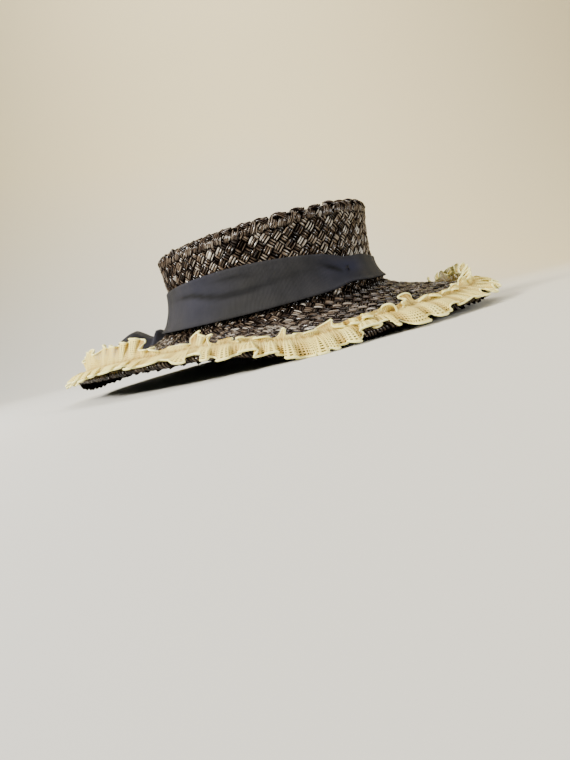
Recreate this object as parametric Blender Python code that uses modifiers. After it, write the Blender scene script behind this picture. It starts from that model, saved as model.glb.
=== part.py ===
"""A woman's boater hat of plaited straw, with a ribbon band, a flat bow and a net ruffle.

Metres, +Z up. +X is the wearer's front, +Y the wearer's left. z = 0 is the surface that the hat
rests on, rim down, and x = y = 0 is the middle of its whole length and width. Directions round the
hat are in degrees from the front (0) over the wearer's left (90) and the back (180) to the right (270).
"""

import math

import bmesh
import bpy
from mathutils import Vector

MM = 0.001

# Walls and clearances
STRAW_WALL = 0.0025
RIBBON_WALL = 0.0010
NET_WALL = 0.0010
SEAM_GAP = 0.0003
BAND_GAP = 0.0006
COLLAR_GAP = 0.0006
AROUND = 54

# The ruffle reaches further out at the back, so the oval's own middle lies a little forward
OVAL_CENTRE_X = 0.0025

# Brim: an oval that droops from the crown to a wavy edge, in rows of plait
BRIM_HALF_LENGTH = 0.1715
BRIM_OVAL = 0.940
BRIM_CENTRE_X = -0.0015
ROOT_HALF_LENGTH = 0.0960
ROOT_DROP = 0.0010
BRIM_ROWS = 7
ROW_RELIEF = 0.0004
EDGE_LIFT = 0.00182
EDGE_ROW_DROP = 0.0036

# Height of the underside of the brim's edge, round the hat
EDGE_HEIGHTS = (
    # degrees, millimetres
    (0, 10.5), (14, 12.5), (34, 9.5), (50, 4.5), (73, 0.0), (93, 1.5), (113, 0.0), (128, 3.3),
    (141, 6.5), (157, 8.4), (172, 6.6), (182, 6.4), (198, 10.6), (209, 13.9), (232, 13.8), (249, 12.5),
    (258, 10.8), (264, 8.2), (272, 3.2), (280, 0.0), (291, 1.8), (305, 3.3), (320, 3.6), (335, 4.7),
    (344, 6.6),
)

# How the droop is shared out between the crown (0) and the edge (1)
DROOP_SHARE = (
    # part of the way out, part of the height left
    (0.00, 1.00), (0.06, 0.88), (0.15, 0.75), (0.30, 0.59), (0.50, 0.42), (0.70, 0.27), (0.88, 0.11),
    (0.95, 0.05), (1.00, 0.00),
)

# Crown: a low, slightly waisted oval tube that flares out into the brim
CROWN_OVAL = 0.929
FACE_STEP = 0.02
CROWN_TOP = (0.0927, 0.0028, 0.0009)
CROWN_BASE = (0.0350, 0.0011, 0.0023)
CROWN_PROFILE = (
    # part of the height, half length in millimetres, centre in millimetres
    (0.03, 95.0, -3.0), (0.10, 92.0, -2.5), (0.20, 89.5, -2.0), (0.35, 87.8, -1.0), (0.55, 87.4, -0.5),
    (0.80, 89.0, -0.8), (1.00, 90.4, -0.8),
)

# Tip: the flat top, whose last row of plait stands up in saw teeth
TIP_OVERHANG = 0.0004
TOOTH_COUNT = 40
TOOTH_HEIGHT = 0.0034
TOOTH_FOOT = 0.0006
TOOTH_PEAK_AT = 0.82
TIP_STEP_IN = 0.0050
TIP_FLAT_LIFT = 0.0009

# Hat band: a slanting ribbon, narrow at the front, pinched by a stitch near the front
BAND_TOP = (0.0656, -0.0057, -0.0032)
BAND_BOTTOM = (0.0372, 0.0011, 0.0023)
BAND_ROWS = (0.0, 0.20, 0.50, 1.0)
BAND_FLARE = 0.0012
PINCH_AT = 325.0
PINCH_SPREAD = 9.0
PINCH_NARROWING = 0.0022

# Ruffle: a net ribbon gathered along its middle, close to the brim's edge
RUFFLE_WAVES = 42
STEPS_PER_WAVE = 5
RUFFLE_REACH = (
    # half length in millimetres at the lower edge, lower bend, gathering line, upper bend, upper edge
    175.6, 170.2, 161.5, 156.5, 152.0,
)
RUFFLE_SEAT = 0.0019
RUFFLE_BEND_RISE = 0.0015
BEND_SHARE = 0.4
SPREAD_SHARES = (0.6, 1.3, 1.0, 1.0, 1.0)
WAVE_OUT = 0.0016
WAVE_UP = 0.0014
WAVE_DRIFT = 1.4
WAVE_SLOW = 0.9
BACK_SPREAD = (
    # degrees, how much further the ruffle reaches out there in millimetres
    (120, 0.0), (165, 3.0), (190, 4.0), (212, 2.0), (235, 0.0),
)
LOWER_FRILL = (
    # degrees, height of the frill's lower edge above the underside of the brim's edge in millimetres
    (20, 3.6), (72, 2.4), (120, 2.4), (160, 5.0), (182, 7.0), (203, 3.5), (218, 4.0), (230, 5.4),
    (248, 6.0),
    (257, 2.4), (272, 1.2), (282, 0.8), (300, 0.7), (310, 1.4), (324, 3.6), (344, 4.0),
)
UPPER_FRILL = (
    # degrees, rise of the frill's upper edge above the brim in millimetres
    (8, 9.5), (30, 5.0), (60, 4.0), (120, 4.5), (165, 10.5), (200, 12.0), (219, 12.0), (235, 10.0),
    (245, 4.5), (260, 2.8), (277, 2.6), (293, 4.5), (310, 3.5), (330, 3.0), (340, 4.5), (352, 9.5),
)

# Bow: flat, on the band at the back, just round on the wearer's left
BOW_AT = 150.0
BOW_HEIGHT = 0.0530
KNOT_SIZE = (0.0090, 0.0150, 0.0200)
KNOT_ROUNDING = 0.28
KNOT_CUTS = 3
LOOP_REACH = 24.0
LOOP_CLEARANCE = 1.9
LOOP_HALF_WIDTH = 0.0120
LOOP_DEPTH = 0.0042
LOOP_NECK = 0.62
LOOP_STEPS = 16
TAIL_STEPS = 2
BACK_TAIL = (
    # distance out from the brim's root, degrees, height above the brim, half width (lengths in mm)
    (1.5, 153.2, 8.8, 4.4), (5.0, 157.0, 6.5, 6.5), (9.0, 161.0, 4.5, 8.0), (14.0, 165.0, 6.5, 9.5),
    (21.0, 169.0, 13.5, 11.0), (29.0, 172.0, 19.0, 12.0), (39.0, 174.0, 15.5, 12.5),
    (48.0, 176.0, 8.0, 12.5), (53.0, 177.0, 2.6, 12.5),
)
LEFT_TAIL = (
    (1.5, 146.8, 8.95, 4.4), (5.0, 143.0, 5.5, 6.5), (9.0, 140.0, 3.8, 8.0), (16.0, 136.0, 3.2, 9.5),
    (26.0, 131.0, 3.4, 11.5), (36.0, 127.0, 2.8, 12.0), (45.0, 124.0, 2.4, 12.5),
)

# Finishes: base colour, roughness, metallic
STRAW = ("dark_straw", (0.035, 0.022, 0.016, 1.0), 0.38, 0.0)
RIBBON = ("charcoal_ribbon", (0.030, 0.034, 0.048, 1.0), 0.75, 0.0)
NET = ("cream_net", (0.78, 0.64, 0.40, 1.0), 0.70, 0.0)


def smooth_table(rows, value, period=None):
    """Read a table of (position, height) rows as a smooth curve that keeps the rows' highs and lows."""
    points = list(rows)
    if period:
        value = value % period
        points = [(p - period, h) for p, h in rows] + points + [(p + period, h) for p, h in rows]
    last = len(points) - 2
    index = 0
    while index < last and points[index + 1][0] < value:
        index += 1
    slopes = []
    for i in (index, index + 1):
        before = points[max(i - 1, 0)]
        here = points[i]
        after = points[min(i + 1, len(points) - 1)]
        left = (here[1] - before[1]) / (here[0] - before[0]) if here[0] > before[0] else 0.0
        right = (after[1] - here[1]) / (after[0] - here[0]) if after[0] > here[0] else 0.0
        slopes.append(0.0 if left * right <= 0.0 else 2.0 * left * right / (left + right))
    (p0, h0), (p1, h1) = points[index], points[index + 1]
    span = p1 - p0
    t = min(max((value - p0) / span, 0.0), 1.0)
    hump = t * t * (3.0 - 2.0 * t)
    start = t * (1.0 - t) ** 2 * span * slopes[0]
    end = t * t * (t - 1.0) * span * slopes[1]
    return h0 + (h1 - h0) * hump + start + end


def swing(level, degrees):
    """A height that leans with the direction: mean, front-to-back lean and side-to-side saddle."""
    turn = math.radians(degrees)
    return level[0] + level[1] * math.cos(turn) + level[2] * math.cos(2.0 * turn)


def oval_point(half_length, oval, centre_x, degrees, height):
    """The point of an upright oval in one direction, at one height."""
    turn = math.radians(degrees)
    middle = OVAL_CENTRE_X + centre_x
    return Vector((middle + half_length * math.cos(turn), oval * half_length * math.sin(turn), height))


def crown_section(share, degrees):
    """Half length, centre and height of the crown's outer face at a share of its height."""
    half_length = MM * smooth_table([(row[0], row[1]) for row in CROWN_PROFILE], share)
    centre_x = MM * smooth_table([(row[0], row[2]) for row in CROWN_PROFILE], share)
    base = swing(CROWN_BASE, degrees)
    return half_length, centre_x, base + share * (swing(CROWN_TOP, degrees) - base)


def crown_point(share, degrees, outward=0.0):
    """A point of the crown's outer face, moved out square to the face."""

    def on_face(at_share, at_degrees):
        half_length, centre_x, height = crown_section(at_share, at_degrees)
        return oval_point(half_length, CROWN_OVAL, centre_x, at_degrees, height)

    low = max(share - FACE_STEP, CROWN_PROFILE[0][0])
    high = min(share + FACE_STEP, 1.0)
    around = on_face(share, degrees + 1.0) - on_face(share, degrees - 1.0)
    up = on_face(high, degrees) - on_face(low, degrees)
    return on_face(share, degrees) + outward * around.cross(up).normalized()


def brim_height(half_length, degrees):
    """Height of the brim's upper face, without the relief of its rows."""
    out = (half_length - ROOT_HALF_LENGTH) / (BRIM_HALF_LENGTH - ROOT_HALF_LENGTH)
    edge = MM * smooth_table(EDGE_HEIGHTS, degrees, 360.0) + EDGE_LIFT
    root = swing(CROWN_BASE, degrees) - ROOT_DROP
    last_row = max(out - (1.0 - 1.0 / BRIM_ROWS), 0.0) * BRIM_ROWS
    shoulder = edge + EDGE_ROW_DROP
    droop = shoulder + (root - shoulder) * smooth_table(DROOP_SHARE, out)
    return droop - EDGE_ROW_DROP * last_row ** 2


def brim_point(half_length, degrees, lift=0.0):
    """A point above the brim's upper face."""
    out = (half_length - ROOT_HALF_LENGTH) / (BRIM_HALF_LENGTH - ROOT_HALF_LENGTH)
    oval = CROWN_OVAL + (BRIM_OVAL - CROWN_OVAL) * out
    root_centre = MM * CROWN_PROFILE[0][2]
    centre_x = root_centre + (BRIM_CENTRE_X - root_centre) * out
    return oval_point(half_length, oval, centre_x, degrees, brim_height(half_length, degrees) + lift)


def make_material(finish):
    """One Principled material from a finish row, made once."""
    name, colour, roughness, metallic = finish
    if name in bpy.data.materials:
        return bpy.data.materials[name]
    material = bpy.data.materials.new(name)
    material.use_nodes = True
    shader = material.node_tree.nodes["Principled BSDF"]
    shader.inputs["Base Color"].default_value = colour
    shader.inputs["Roughness"].default_value = roughness
    shader.inputs["Metallic"].default_value = metallic
    material.diffuse_color = colour
    return material


def add_object(name, mesh_edit, finish, collection, smooth_under=40.0):
    """Turn a bmesh into a named, smooth-shaded object of the hat."""
    mesh = bpy.data.meshes.new(name)
    mesh_edit.to_mesh(mesh)
    mesh_edit.free()
    mesh.materials.append(make_material(finish))
    mesh.shade_smooth()
    mesh.set_sharp_from_angle(angle=math.radians(smooth_under))
    made = bpy.data.objects.new(name, mesh)
    collection.objects.link(made)
    return made


def add_wall(target, thickness):
    """Give an open surface its wall, on the side away from its face."""
    wall = target.modifiers.new("wall", "SOLIDIFY")
    wall.thickness = thickness
    wall.offset = -1.0
    wall.use_even_offset = True
    return wall


def shaped_sheet(columns, rows, place, closed):
    """A grid of columns by rows whose points are placed by a function of column and row."""
    edit = bmesh.new()
    bmesh.ops.create_grid(edit, x_segments=columns, y_segments=rows, size=1.0)
    for vertex in edit.verts:
        column = round((vertex.co.x + 1.0) / 2.0 * columns)
        row = round((vertex.co.y + 1.0) / 2.0 * rows)
        vertex.co = place(column % columns if closed else column, row)
    if closed:
        bmesh.ops.remove_doubles(edit, verts=edit.verts, dist=0.00001)
    return edit


def make_brim(collection):
    """The brim, in rows of plait, with its inner margin turned up inside the crown."""
    collar = (0.03, 0.10, 0.20)
    rows = 2 * BRIM_ROWS

    def place(column, row):
        degrees = 360.0 * column / AROUND
        if row > rows:
            return crown_point(collar[row - rows - 1], degrees, -(STRAW_WALL + COLLAR_GAP))
        half_length = BRIM_HALF_LENGTH + (ROOT_HALF_LENGTH - BRIM_HALF_LENGTH) * row / rows
        relief = ROW_RELIEF if row % 2 else -ROW_RELIEF
        return brim_point(half_length, degrees, relief if 0 < row < rows else 0.0)

    sheet = shaped_sheet(AROUND, rows + len(collar), place, closed=True)
    brim = add_object("brim", sheet, STRAW, collection)
    add_wall(brim, STRAW_WALL)
    return brim


def make_crown_side(collection):
    """The crown's side wall, open at both ends."""
    shares = [row[0] for row in CROWN_PROFILE]

    def place(column, row):
        return crown_point(shares[row], 360.0 * column / AROUND)

    sheet = shaped_sheet(AROUND, len(shares) - 1, place, closed=True)
    side = add_object("crown_side", sheet, STRAW, collection)
    add_wall(side, STRAW_WALL)
    return side


def make_crown_tip(collection):
    """The top, a flat oval that leans with the crown, seated on the side wall, with saw teeth round it."""
    rim_half_length = MM * CROWN_PROFILE[-1][1] + TIP_OVERHANG
    centre_x = MM * CROWN_PROFILE[-1][2]
    lengths = (
        rim_half_length,
        rim_half_length - TIP_STEP_IN,
        0.0,
    )

    def place(column, row):
        peak = column % 2 == 1
        degrees = 360.0 / TOOTH_COUNT * (column // 2 + (TOOTH_PEAK_AT if peak else 0.0))
        if row == 0:
            rise = swing(CROWN_TOP, degrees) + (TOOTH_HEIGHT if peak else TOOTH_FOOT)
        else:
            lean = CROWN_TOP[1] * lengths[row] / rim_half_length
            rise = swing((CROWN_TOP[0] + TIP_FLAT_LIFT, lean, 0.0), degrees)
        height = rise + SEAM_GAP + STRAW_WALL
        return oval_point(lengths[row], CROWN_OVAL, centre_x, degrees, height)

    sheet = shaped_sheet(2 * TOOTH_COUNT, len(lengths) - 1, place, closed=True)
    tip = add_object("crown_tip", sheet, STRAW, collection)
    add_wall(tip, STRAW_WALL)
    return tip


def band_edges(degrees):
    """Heights of the ribbon's lower and upper edges, drawn together at the pinch."""
    pinch = PINCH_NARROWING * math.exp(-((degrees - PINCH_AT) / PINCH_SPREAD) ** 2)
    return swing(BAND_BOTTOM, degrees) + pinch, swing(BAND_TOP, degrees) - pinch


def make_hat_band(collection):
    """The ribbon round the crown, its lower edge flaring over the crown's foot."""

    def place(column, row):
        degrees = 360.0 * column / AROUND
        low, high = band_edges(degrees)
        height = low + BAND_ROWS[row] * (high - low)
        base = swing(CROWN_BASE, degrees)
        share = (height - base) / (swing(CROWN_TOP, degrees) - base)
        half_length, centre_x, _ = crown_section(max(share, CROWN_PROFILE[0][0]), degrees)
        out = RIBBON_WALL + BAND_GAP + BAND_FLARE * (1.0 - BAND_ROWS[row]) ** 2
        return oval_point(half_length + out, CROWN_OVAL, centre_x, degrees, height)

    sheet = shaped_sheet(AROUND, len(BAND_ROWS) - 1, place, closed=True)
    band = add_object("hat_band", sheet, RIBBON, collection)
    add_wall(band, RIBBON_WALL)
    return band


def ruffle_wave(degrees, lag):
    """How far the frill is out of its middle place, from -1 to 1, in waves of uneven length."""
    turn = math.radians(degrees)
    drift = WAVE_DRIFT * math.sin(3.0 * turn + 0.5) + WAVE_SLOW * math.sin(7.0 * turn)
    return math.sin(RUFFLE_WAVES * turn + drift + lag)


def make_brim_ruffle(collection):
    """The gathered net ribbon: a lower frill over the brim's edge and an upper one standing up."""
    columns = RUFFLE_WAVES * STEPS_PER_WAVE

    def place(column, row):
        degrees = 360.0 * column / columns
        wave = ruffle_wave(degrees, 0.0 if row < 2 else math.pi / 2.0)
        spread = SPREAD_SHARES[row] * smooth_table(BACK_SPREAD, degrees, 360.0)
        half_length = MM * (RUFFLE_REACH[row] + spread)
        upper = MM * smooth_table(UPPER_FRILL, degrees, 360.0)
        if row == 0:
            edge = MM * smooth_table(EDGE_HEIGHTS, degrees, 360.0)
            low = edge + MM * smooth_table(LOWER_FRILL, degrees, 360.0)
            foot = brim_point(half_length + WAVE_OUT * (1.0 + wave) / 2.0, degrees)
            return Vector((foot.x, foot.y, low + WAVE_UP * (1.0 + wave) / 2.0))
        if row == 1:
            rise = RUFFLE_BEND_RISE + BEND_SHARE * upper + WAVE_UP * (1.0 + wave)
            return brim_point(half_length, degrees, RUFFLE_SEAT + rise)
        if row == 2:
            return brim_point(half_length, degrees, RUFFLE_SEAT)
        share = 0.5 if row == 3 else 1.0
        return brim_point(half_length + share * WAVE_OUT * wave, degrees, RUFFLE_SEAT + share * upper)

    sheet = shaped_sheet(columns, len(RUFFLE_REACH) - 1, place, closed=True)
    ruffle = add_object("brim_ruffle", sheet, NET, collection)
    add_wall(ruffle, NET_WALL)
    return ruffle


def band_face(degrees, height, out):
    """A point at a distance out from the band's outer face."""
    base = swing(CROWN_BASE, degrees)
    share = (height - base) / (swing(CROWN_TOP, degrees) - base)
    half_length, centre_x, _ = crown_section(share, degrees)
    reach = half_length + RIBBON_WALL + BAND_GAP + BAND_FLARE + out
    return oval_point(reach, CROWN_OVAL, centre_x, degrees, height)


def make_bow_knot(collection):
    """The wrapped middle of the bow, close against the band and rounded on its outer side."""
    depth, width, height = KNOT_SIZE
    edit = bmesh.new()
    bmesh.ops.create_cube(edit, size=2.0)
    bmesh.ops.subdivide_edges(edit, edges=edit.edges, cuts=KNOT_CUTS, use_grid_fill=True)
    for vertex in edit.verts:
        across, along, up = vertex.co
        fullness = 1.0 - KNOT_ROUNDING * (along ** 4 + up ** 4)
        degrees = BOW_AT + math.degrees(along * width / 2.0 / ROOT_HALF_LENGTH)
        out = SEAM_GAP + depth * fullness * (1.0 + across) / 2.0
        vertex.co = band_face(degrees, BOW_HEIGHT + up * height / 2.0, out)
    return add_object("bow_knot", edit, RIBBON, collection)


def make_bow_loop(name, side, collection):
    """One flat loop of the bow, running round the band from the knot."""
    knot_turn = math.degrees(KNOT_SIZE[1] / 2.0 / ROOT_HALF_LENGTH)
    start = knot_turn + LOOP_CLEARANCE

    def place(column, row):
        turn = 2.0 * math.pi * column / LOOP_STEPS
        along = (1.0 - math.cos(turn)) / 2.0
        degrees = BOW_AT + side * (start + (LOOP_REACH - start) * along)
        out = SEAM_GAP + RIBBON_WALL + LOOP_DEPTH / 2.0 * (1.0 - side * math.sin(turn))
        half_width = LOOP_HALF_WIDTH * (LOOP_NECK + (1.0 - LOOP_NECK) * along)
        height = BOW_HEIGHT + half_width * (2.0 * row / TAIL_STEPS - 1.0)
        return band_face(degrees, height, out)

    sheet = shaped_sheet(LOOP_STEPS, TAIL_STEPS, place, closed=True)
    loop = add_object(name, sheet, RIBBON, collection)
    add_wall(loop, RIBBON_WALL)
    return loop


def make_bow_tail(name, stations, collection):
    """One free end of the bow, lying out over the brim."""

    def place(column, row):
        out, degrees, rise, half_width = stations[column]
        half_length = ROOT_HALF_LENGTH + MM * out
        across = row / TAIL_STEPS * 2.0 - 1.0
        turn = math.degrees(MM * half_width * across / half_length)
        return brim_point(half_length, degrees + turn, MM * rise)

    sheet = shaped_sheet(len(stations) - 1, TAIL_STEPS, place, closed=False)
    tail = add_object(name, sheet, RIBBON, collection)
    add_wall(tail, RIBBON_WALL)
    return tail


def main():
    """Clear the scene and build the hat."""
    for old in list(bpy.data.objects):
        bpy.data.objects.remove(old, do_unlink=True)
    collection = bpy.data.collections.new("boater_hat")
    bpy.context.scene.collection.children.link(collection)
    make_brim(collection)
    make_crown_side(collection)
    make_crown_tip(collection)
    make_hat_band(collection)
    make_brim_ruffle(collection)
    make_bow_knot(collection)
    make_bow_loop("bow_loop_back", 1.0, collection)
    make_bow_loop("bow_loop_left", -1.0, collection)
    make_bow_tail("bow_tail_back", BACK_TAIL, collection)
    make_bow_tail("bow_tail_left", LEFT_TAIL, collection)


main()
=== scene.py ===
"""Looks of a woman's boater hat: plaited straw, a ribbon band, a flat bow and a gathered net ruffle.

Metres, in the CAD model's own frame: +X is the wearer's front, +Y the wearer's left, +Z up, and the hat
rests rim down on z = 0. Directions round the hat are in degrees from the front over the wearer's left.
"""

import logging
import math
from collections.abc import Callable, Sequence
from dataclasses import dataclass
from enum import Enum

import bmesh
import bpy
import numpy as np
from mathutils import Euler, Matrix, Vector


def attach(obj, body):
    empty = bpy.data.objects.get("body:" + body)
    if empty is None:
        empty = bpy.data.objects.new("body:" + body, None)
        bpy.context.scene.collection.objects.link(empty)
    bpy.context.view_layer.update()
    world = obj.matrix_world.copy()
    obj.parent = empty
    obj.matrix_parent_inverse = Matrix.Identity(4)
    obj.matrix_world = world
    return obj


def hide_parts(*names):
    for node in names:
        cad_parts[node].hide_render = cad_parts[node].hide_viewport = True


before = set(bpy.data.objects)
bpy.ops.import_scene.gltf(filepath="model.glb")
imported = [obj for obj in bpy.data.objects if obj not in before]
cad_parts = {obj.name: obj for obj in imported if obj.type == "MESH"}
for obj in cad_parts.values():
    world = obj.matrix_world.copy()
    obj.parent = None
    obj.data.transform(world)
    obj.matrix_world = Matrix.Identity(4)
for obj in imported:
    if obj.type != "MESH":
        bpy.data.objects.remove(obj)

MM = 0.001
BODY = "root"
FULL_TURN = 360.0
WELD = 0.000001
STRAW_SPREAD = 0.1

log = logging.getLogger("boater")

Rows = tuple[tuple[float, float], ...]
Colour = tuple[float, float, float]
Spot = tuple[float, float, float]
Face = Callable[[np.ndarray, np.ndarray], np.ndarray]


class Slot(Enum):
    """The material slots."""

    STRAW = "dark_straw"
    RIBBON = "charcoal_ribbon"
    NET = "cream_net"


class Lean(Enum):
    """Which way a strand of plain weave leans as it climbs."""

    RIGHT = 1
    LEFT = -1


# Shapes of the hat, as in its CAD source


@dataclass(frozen=True)
class Curve:
    """A smooth curve through table rows that keeps the rows' highs and lows."""

    rows: Rows
    period: float = 0.0

    def __call__(self, value: np.ndarray | float) -> np.ndarray:
        """Read the curve.

        Args:
            value: Positions along the table.

        Returns:
            The heights there.
        """
        points = np.array(self.rows, dtype=float)
        value = np.asarray(value, dtype=float)
        if self.period:
            value = value % self.period
            step = np.array([self.period, 0.0])
            points = np.vstack([points - step, points, points + step])
        at, height = points.T
        slope = np.diff(height) / np.diff(at)
        left, right = slope[:-1], slope[1:]
        both = left * right
        total = np.where(both > 0.0, left + right, 1.0)
        slopes = np.concatenate([[0.0], np.where(both > 0.0, 2.0 * both / total, 0.0), [0.0]])
        index = np.clip(np.searchsorted(at, value, side="left") - 1, 0, len(at) - 2)
        span = at[index + 1] - at[index]
        t = np.clip((value - at[index]) / span, 0.0, 1.0)
        hump = t * t * (3.0 - 2.0 * t)
        ends = t * (1.0 - t) ** 2 * span * slopes[index] + t * t * (t - 1.0) * span * slopes[index + 1]
        return height[index] + (height[index + 1] - height[index]) * hump + ends


@dataclass(frozen=True)
class HatForm:
    """The main surfaces of the hat, with the sizes of the CAD source."""

    centre_x: float = 0.0025
    straw_wall: float = 0.0025
    ribbon_wall: float = 0.0010
    seam_gap: float = 0.0003
    band_gap: float = 0.0006
    brim_half_length: float = 0.1715
    brim_oval: float = 0.940
    brim_centre_x: float = -0.0015
    root_half_length: float = 0.0960
    root_drop: float = 0.0010
    edge_lift: float = 0.00182
    edge_row_drop: float = 0.0036
    brim_rows: int = 7
    crown_oval: float = 0.929
    crown_top: tuple[float, float, float] = (0.0927, 0.0028, 0.0009)
    crown_base: tuple[float, float, float] = (0.0350, 0.0011, 0.0023)
    band_top: tuple[float, float, float] = (0.0656, -0.0057, -0.0032)
    band_bottom: tuple[float, float, float] = (0.0372, 0.0011, 0.0023)
    band_flare: float = 0.0012
    tip_flat_lift: float = 0.0009
    rim_half_length: float = 0.0908
    tuck_at: float = 202.0
    tuck_depth: float = 0.0034
    tuck_from: float = 0.25
    edge_heights: Curve = Curve(
        (
            (0, 10.5), (14, 12.5), (34, 9.5), (50, 4.5), (73, 0.0), (93, 1.5), (113, 0.0), (128, 3.3),
            (141, 6.5), (157, 8.4), (172, 6.6), (182, 6.4), (198, 10.6), (209, 13.9), (232, 13.8),
            (249, 12.5), (258, 10.8), (264, 8.2), (272, 3.2), (280, 0.0), (291, 1.8), (305, 3.3),
            (320, 3.6), (335, 4.7), (344, 6.6),
        ),
        FULL_TURN,
    )
    droop: Curve = Curve(
        (
            (0.00, 1.00), (0.06, 0.88), (0.15, 0.75), (0.30, 0.59), (0.50, 0.42), (0.70, 0.27),
            (0.88, 0.11), (0.95, 0.05), (1.00, 0.00),
        )
    )
    crown_length: Curve = Curve(
        ((0.03, 95.0), (0.10, 92.0), (0.20, 89.5), (0.35, 87.8), (0.55, 87.4), (0.80, 89.0), (1.00, 90.4))
    )
    crown_shift: Curve = Curve(
        ((0.03, -3.0), (0.10, -2.5), (0.20, -2.0), (0.35, -1.0), (0.55, -0.5), (0.80, -0.8), (1.00, -0.8))
    )

    def swing(self, level: Sequence[float], degrees: np.ndarray) -> np.ndarray:
        """A height that leans with the direction: mean, front-to-back lean and side-to-side saddle."""
        turn = np.radians(degrees)
        return level[0] + level[1] * np.cos(turn) + level[2] * np.cos(2.0 * turn)

    def oval(
        self,
        half_length: np.ndarray,
        oval: np.ndarray | float,
        shift: np.ndarray | float,
        degrees: np.ndarray,
        height: np.ndarray,
    ) -> np.ndarray:
        """Points of an upright oval.

        Args:
            half_length: Half length from front to back.
            oval: Width as a part of the length.
            shift: How far forward the oval's middle lies.
            degrees: Directions round the hat.
            height: Heights of the points.

        Returns:
            The points, one more axis than the arguments.
        """
        turn = np.radians(degrees)
        x = self.centre_x + shift + half_length * np.cos(turn)
        y = oval * half_length * np.sin(turn)
        return np.stack(np.broadcast_arrays(x, y, height), axis=-1)

    def tuck(self, degrees: np.ndarray, share: np.ndarray | float) -> np.ndarray:
        """How far the crown's upper back is pressed in from its even oval.

        Args:
            degrees: Directions round the hat.
            share: Share of the crown's height, from 0 to 1.

        Returns:
            The distances.
        """
        toward = (0.5 + 0.5 * np.cos(np.radians(degrees - self.tuck_at))) ** 3
        climb = np.clip((np.asarray(share) - self.tuck_from) / (1.0 - self.tuck_from), 0.0, 1.1)
        return self.tuck_depth * toward * climb**1.3

    def crown(self, degrees: np.ndarray, share: np.ndarray) -> np.ndarray:
        """Points of the crown's outer face.

        Args:
            degrees: Directions round the hat.
            share: Share of the crown's height, from 0 to 1.

        Returns:
            The points.
        """
        base = self.swing(self.crown_base, degrees)
        height = base + share * (self.swing(self.crown_top, degrees) - base)
        length = MM * self.crown_length(share) - self.tuck(degrees, share)
        return self.oval(length, self.crown_oval, MM * self.crown_shift(share), degrees, height)

    def crown_share(self, degrees: np.ndarray, height: np.ndarray) -> np.ndarray:
        """The share of the crown's height that a height is at."""
        base = self.swing(self.crown_base, degrees)
        return (height - base) / (self.swing(self.crown_top, degrees) - base)

    def brim(self, degrees: np.ndarray, half_length: np.ndarray) -> np.ndarray:
        """Points of the brim's upper face.

        Args:
            degrees: Directions round the hat.
            half_length: Half length of the oval that each point lies on.

        Returns:
            The points.
        """
        out = (half_length - self.root_half_length) / (self.brim_half_length - self.root_half_length)
        edge = MM * self.edge_heights(degrees) + self.edge_lift
        root = self.swing(self.crown_base, degrees) - self.root_drop
        last_row = np.maximum(out - (1.0 - 1.0 / self.brim_rows), 0.0) * self.brim_rows
        shoulder = edge + self.edge_row_drop
        height = shoulder + (root - shoulder) * self.droop(out) - self.edge_row_drop * last_row**2
        oval = self.crown_oval + (self.brim_oval - self.crown_oval) * out
        root_shift = MM * self.crown_shift.rows[0][1]
        shift = root_shift + (self.brim_centre_x - root_shift) * out
        return self.oval(half_length, oval, shift, degrees, height)

    def tip(self, degrees: np.ndarray, half_length: np.ndarray) -> np.ndarray:
        """Points of the upper face of the flat top.

        Args:
            degrees: Directions round the hat.
            half_length: Half length of the oval that each point lies on.

        Returns:
            The points.
        """
        lean = self.crown_top[1] * half_length / self.rim_half_length
        height = self.crown_top[0] + self.tip_flat_lift + lean * np.cos(np.radians(degrees))
        height = height + self.seam_gap + self.straw_wall
        half_length = half_length - self.tuck(degrees, 1.0) * (half_length / self.rim_half_length) ** 2
        return self.oval(half_length, self.crown_oval, MM * self.crown_shift.rows[-1][1], degrees, height)

    def band(self, degrees: np.ndarray, height: np.ndarray, out: np.ndarray | float) -> np.ndarray:
        """Points at a distance out from the crown's outer face.

        Args:
            degrees: Directions round the hat.
            height: Heights of the points.
            out: Distance out.

        Returns:
            The points.
        """
        share = np.maximum(self.crown_share(degrees, height), self.crown_length.rows[0][0])
        length = MM * self.crown_length(share) + out - self.tuck(degrees, share)
        return self.oval(length, self.crown_oval, MM * self.crown_shift(share), degrees, height)


HAT = HatForm()


def off_face(
    face: Face,
    degrees: np.ndarray,
    across: np.ndarray,
    out: np.ndarray,
    step: float = 0.0005,
    turn: float = 0.3,
) -> np.ndarray:
    """Points moved out square to a face, to its outer or upper side.

    Args:
        face: The face, a function of degrees and a second position.
        degrees: Directions round the hat.
        across: Second position.
        out: Distance out from the face.
        step: Small step of the second position for the face's slope.
        turn: Small turn round the hat for the same.

    Returns:
        The points.
    """
    around = face(degrees + turn, across) - face(degrees - turn, across)
    over = face(degrees, across + step) - face(degrees, across - step)
    square = np.cross(around, over)
    square /= np.linalg.norm(square, axis=-1, keepdims=True)
    spots = face(degrees, across)
    outward = spots / np.linalg.norm(spots[..., :2], axis=-1, keepdims=True)
    outward[..., 2] = 1.0
    square *= np.sign(np.sum(square * outward, axis=-1, keepdims=True))
    return spots + out[..., None] * square


def hump(*offsets: np.ndarray, power: int = 2) -> np.ndarray:
    """A soft hump, 1 high where every offset is 0 and low where one of them is past 1."""
    return np.exp(-sum(offset**power for offset in offsets))


# Materials


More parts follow.
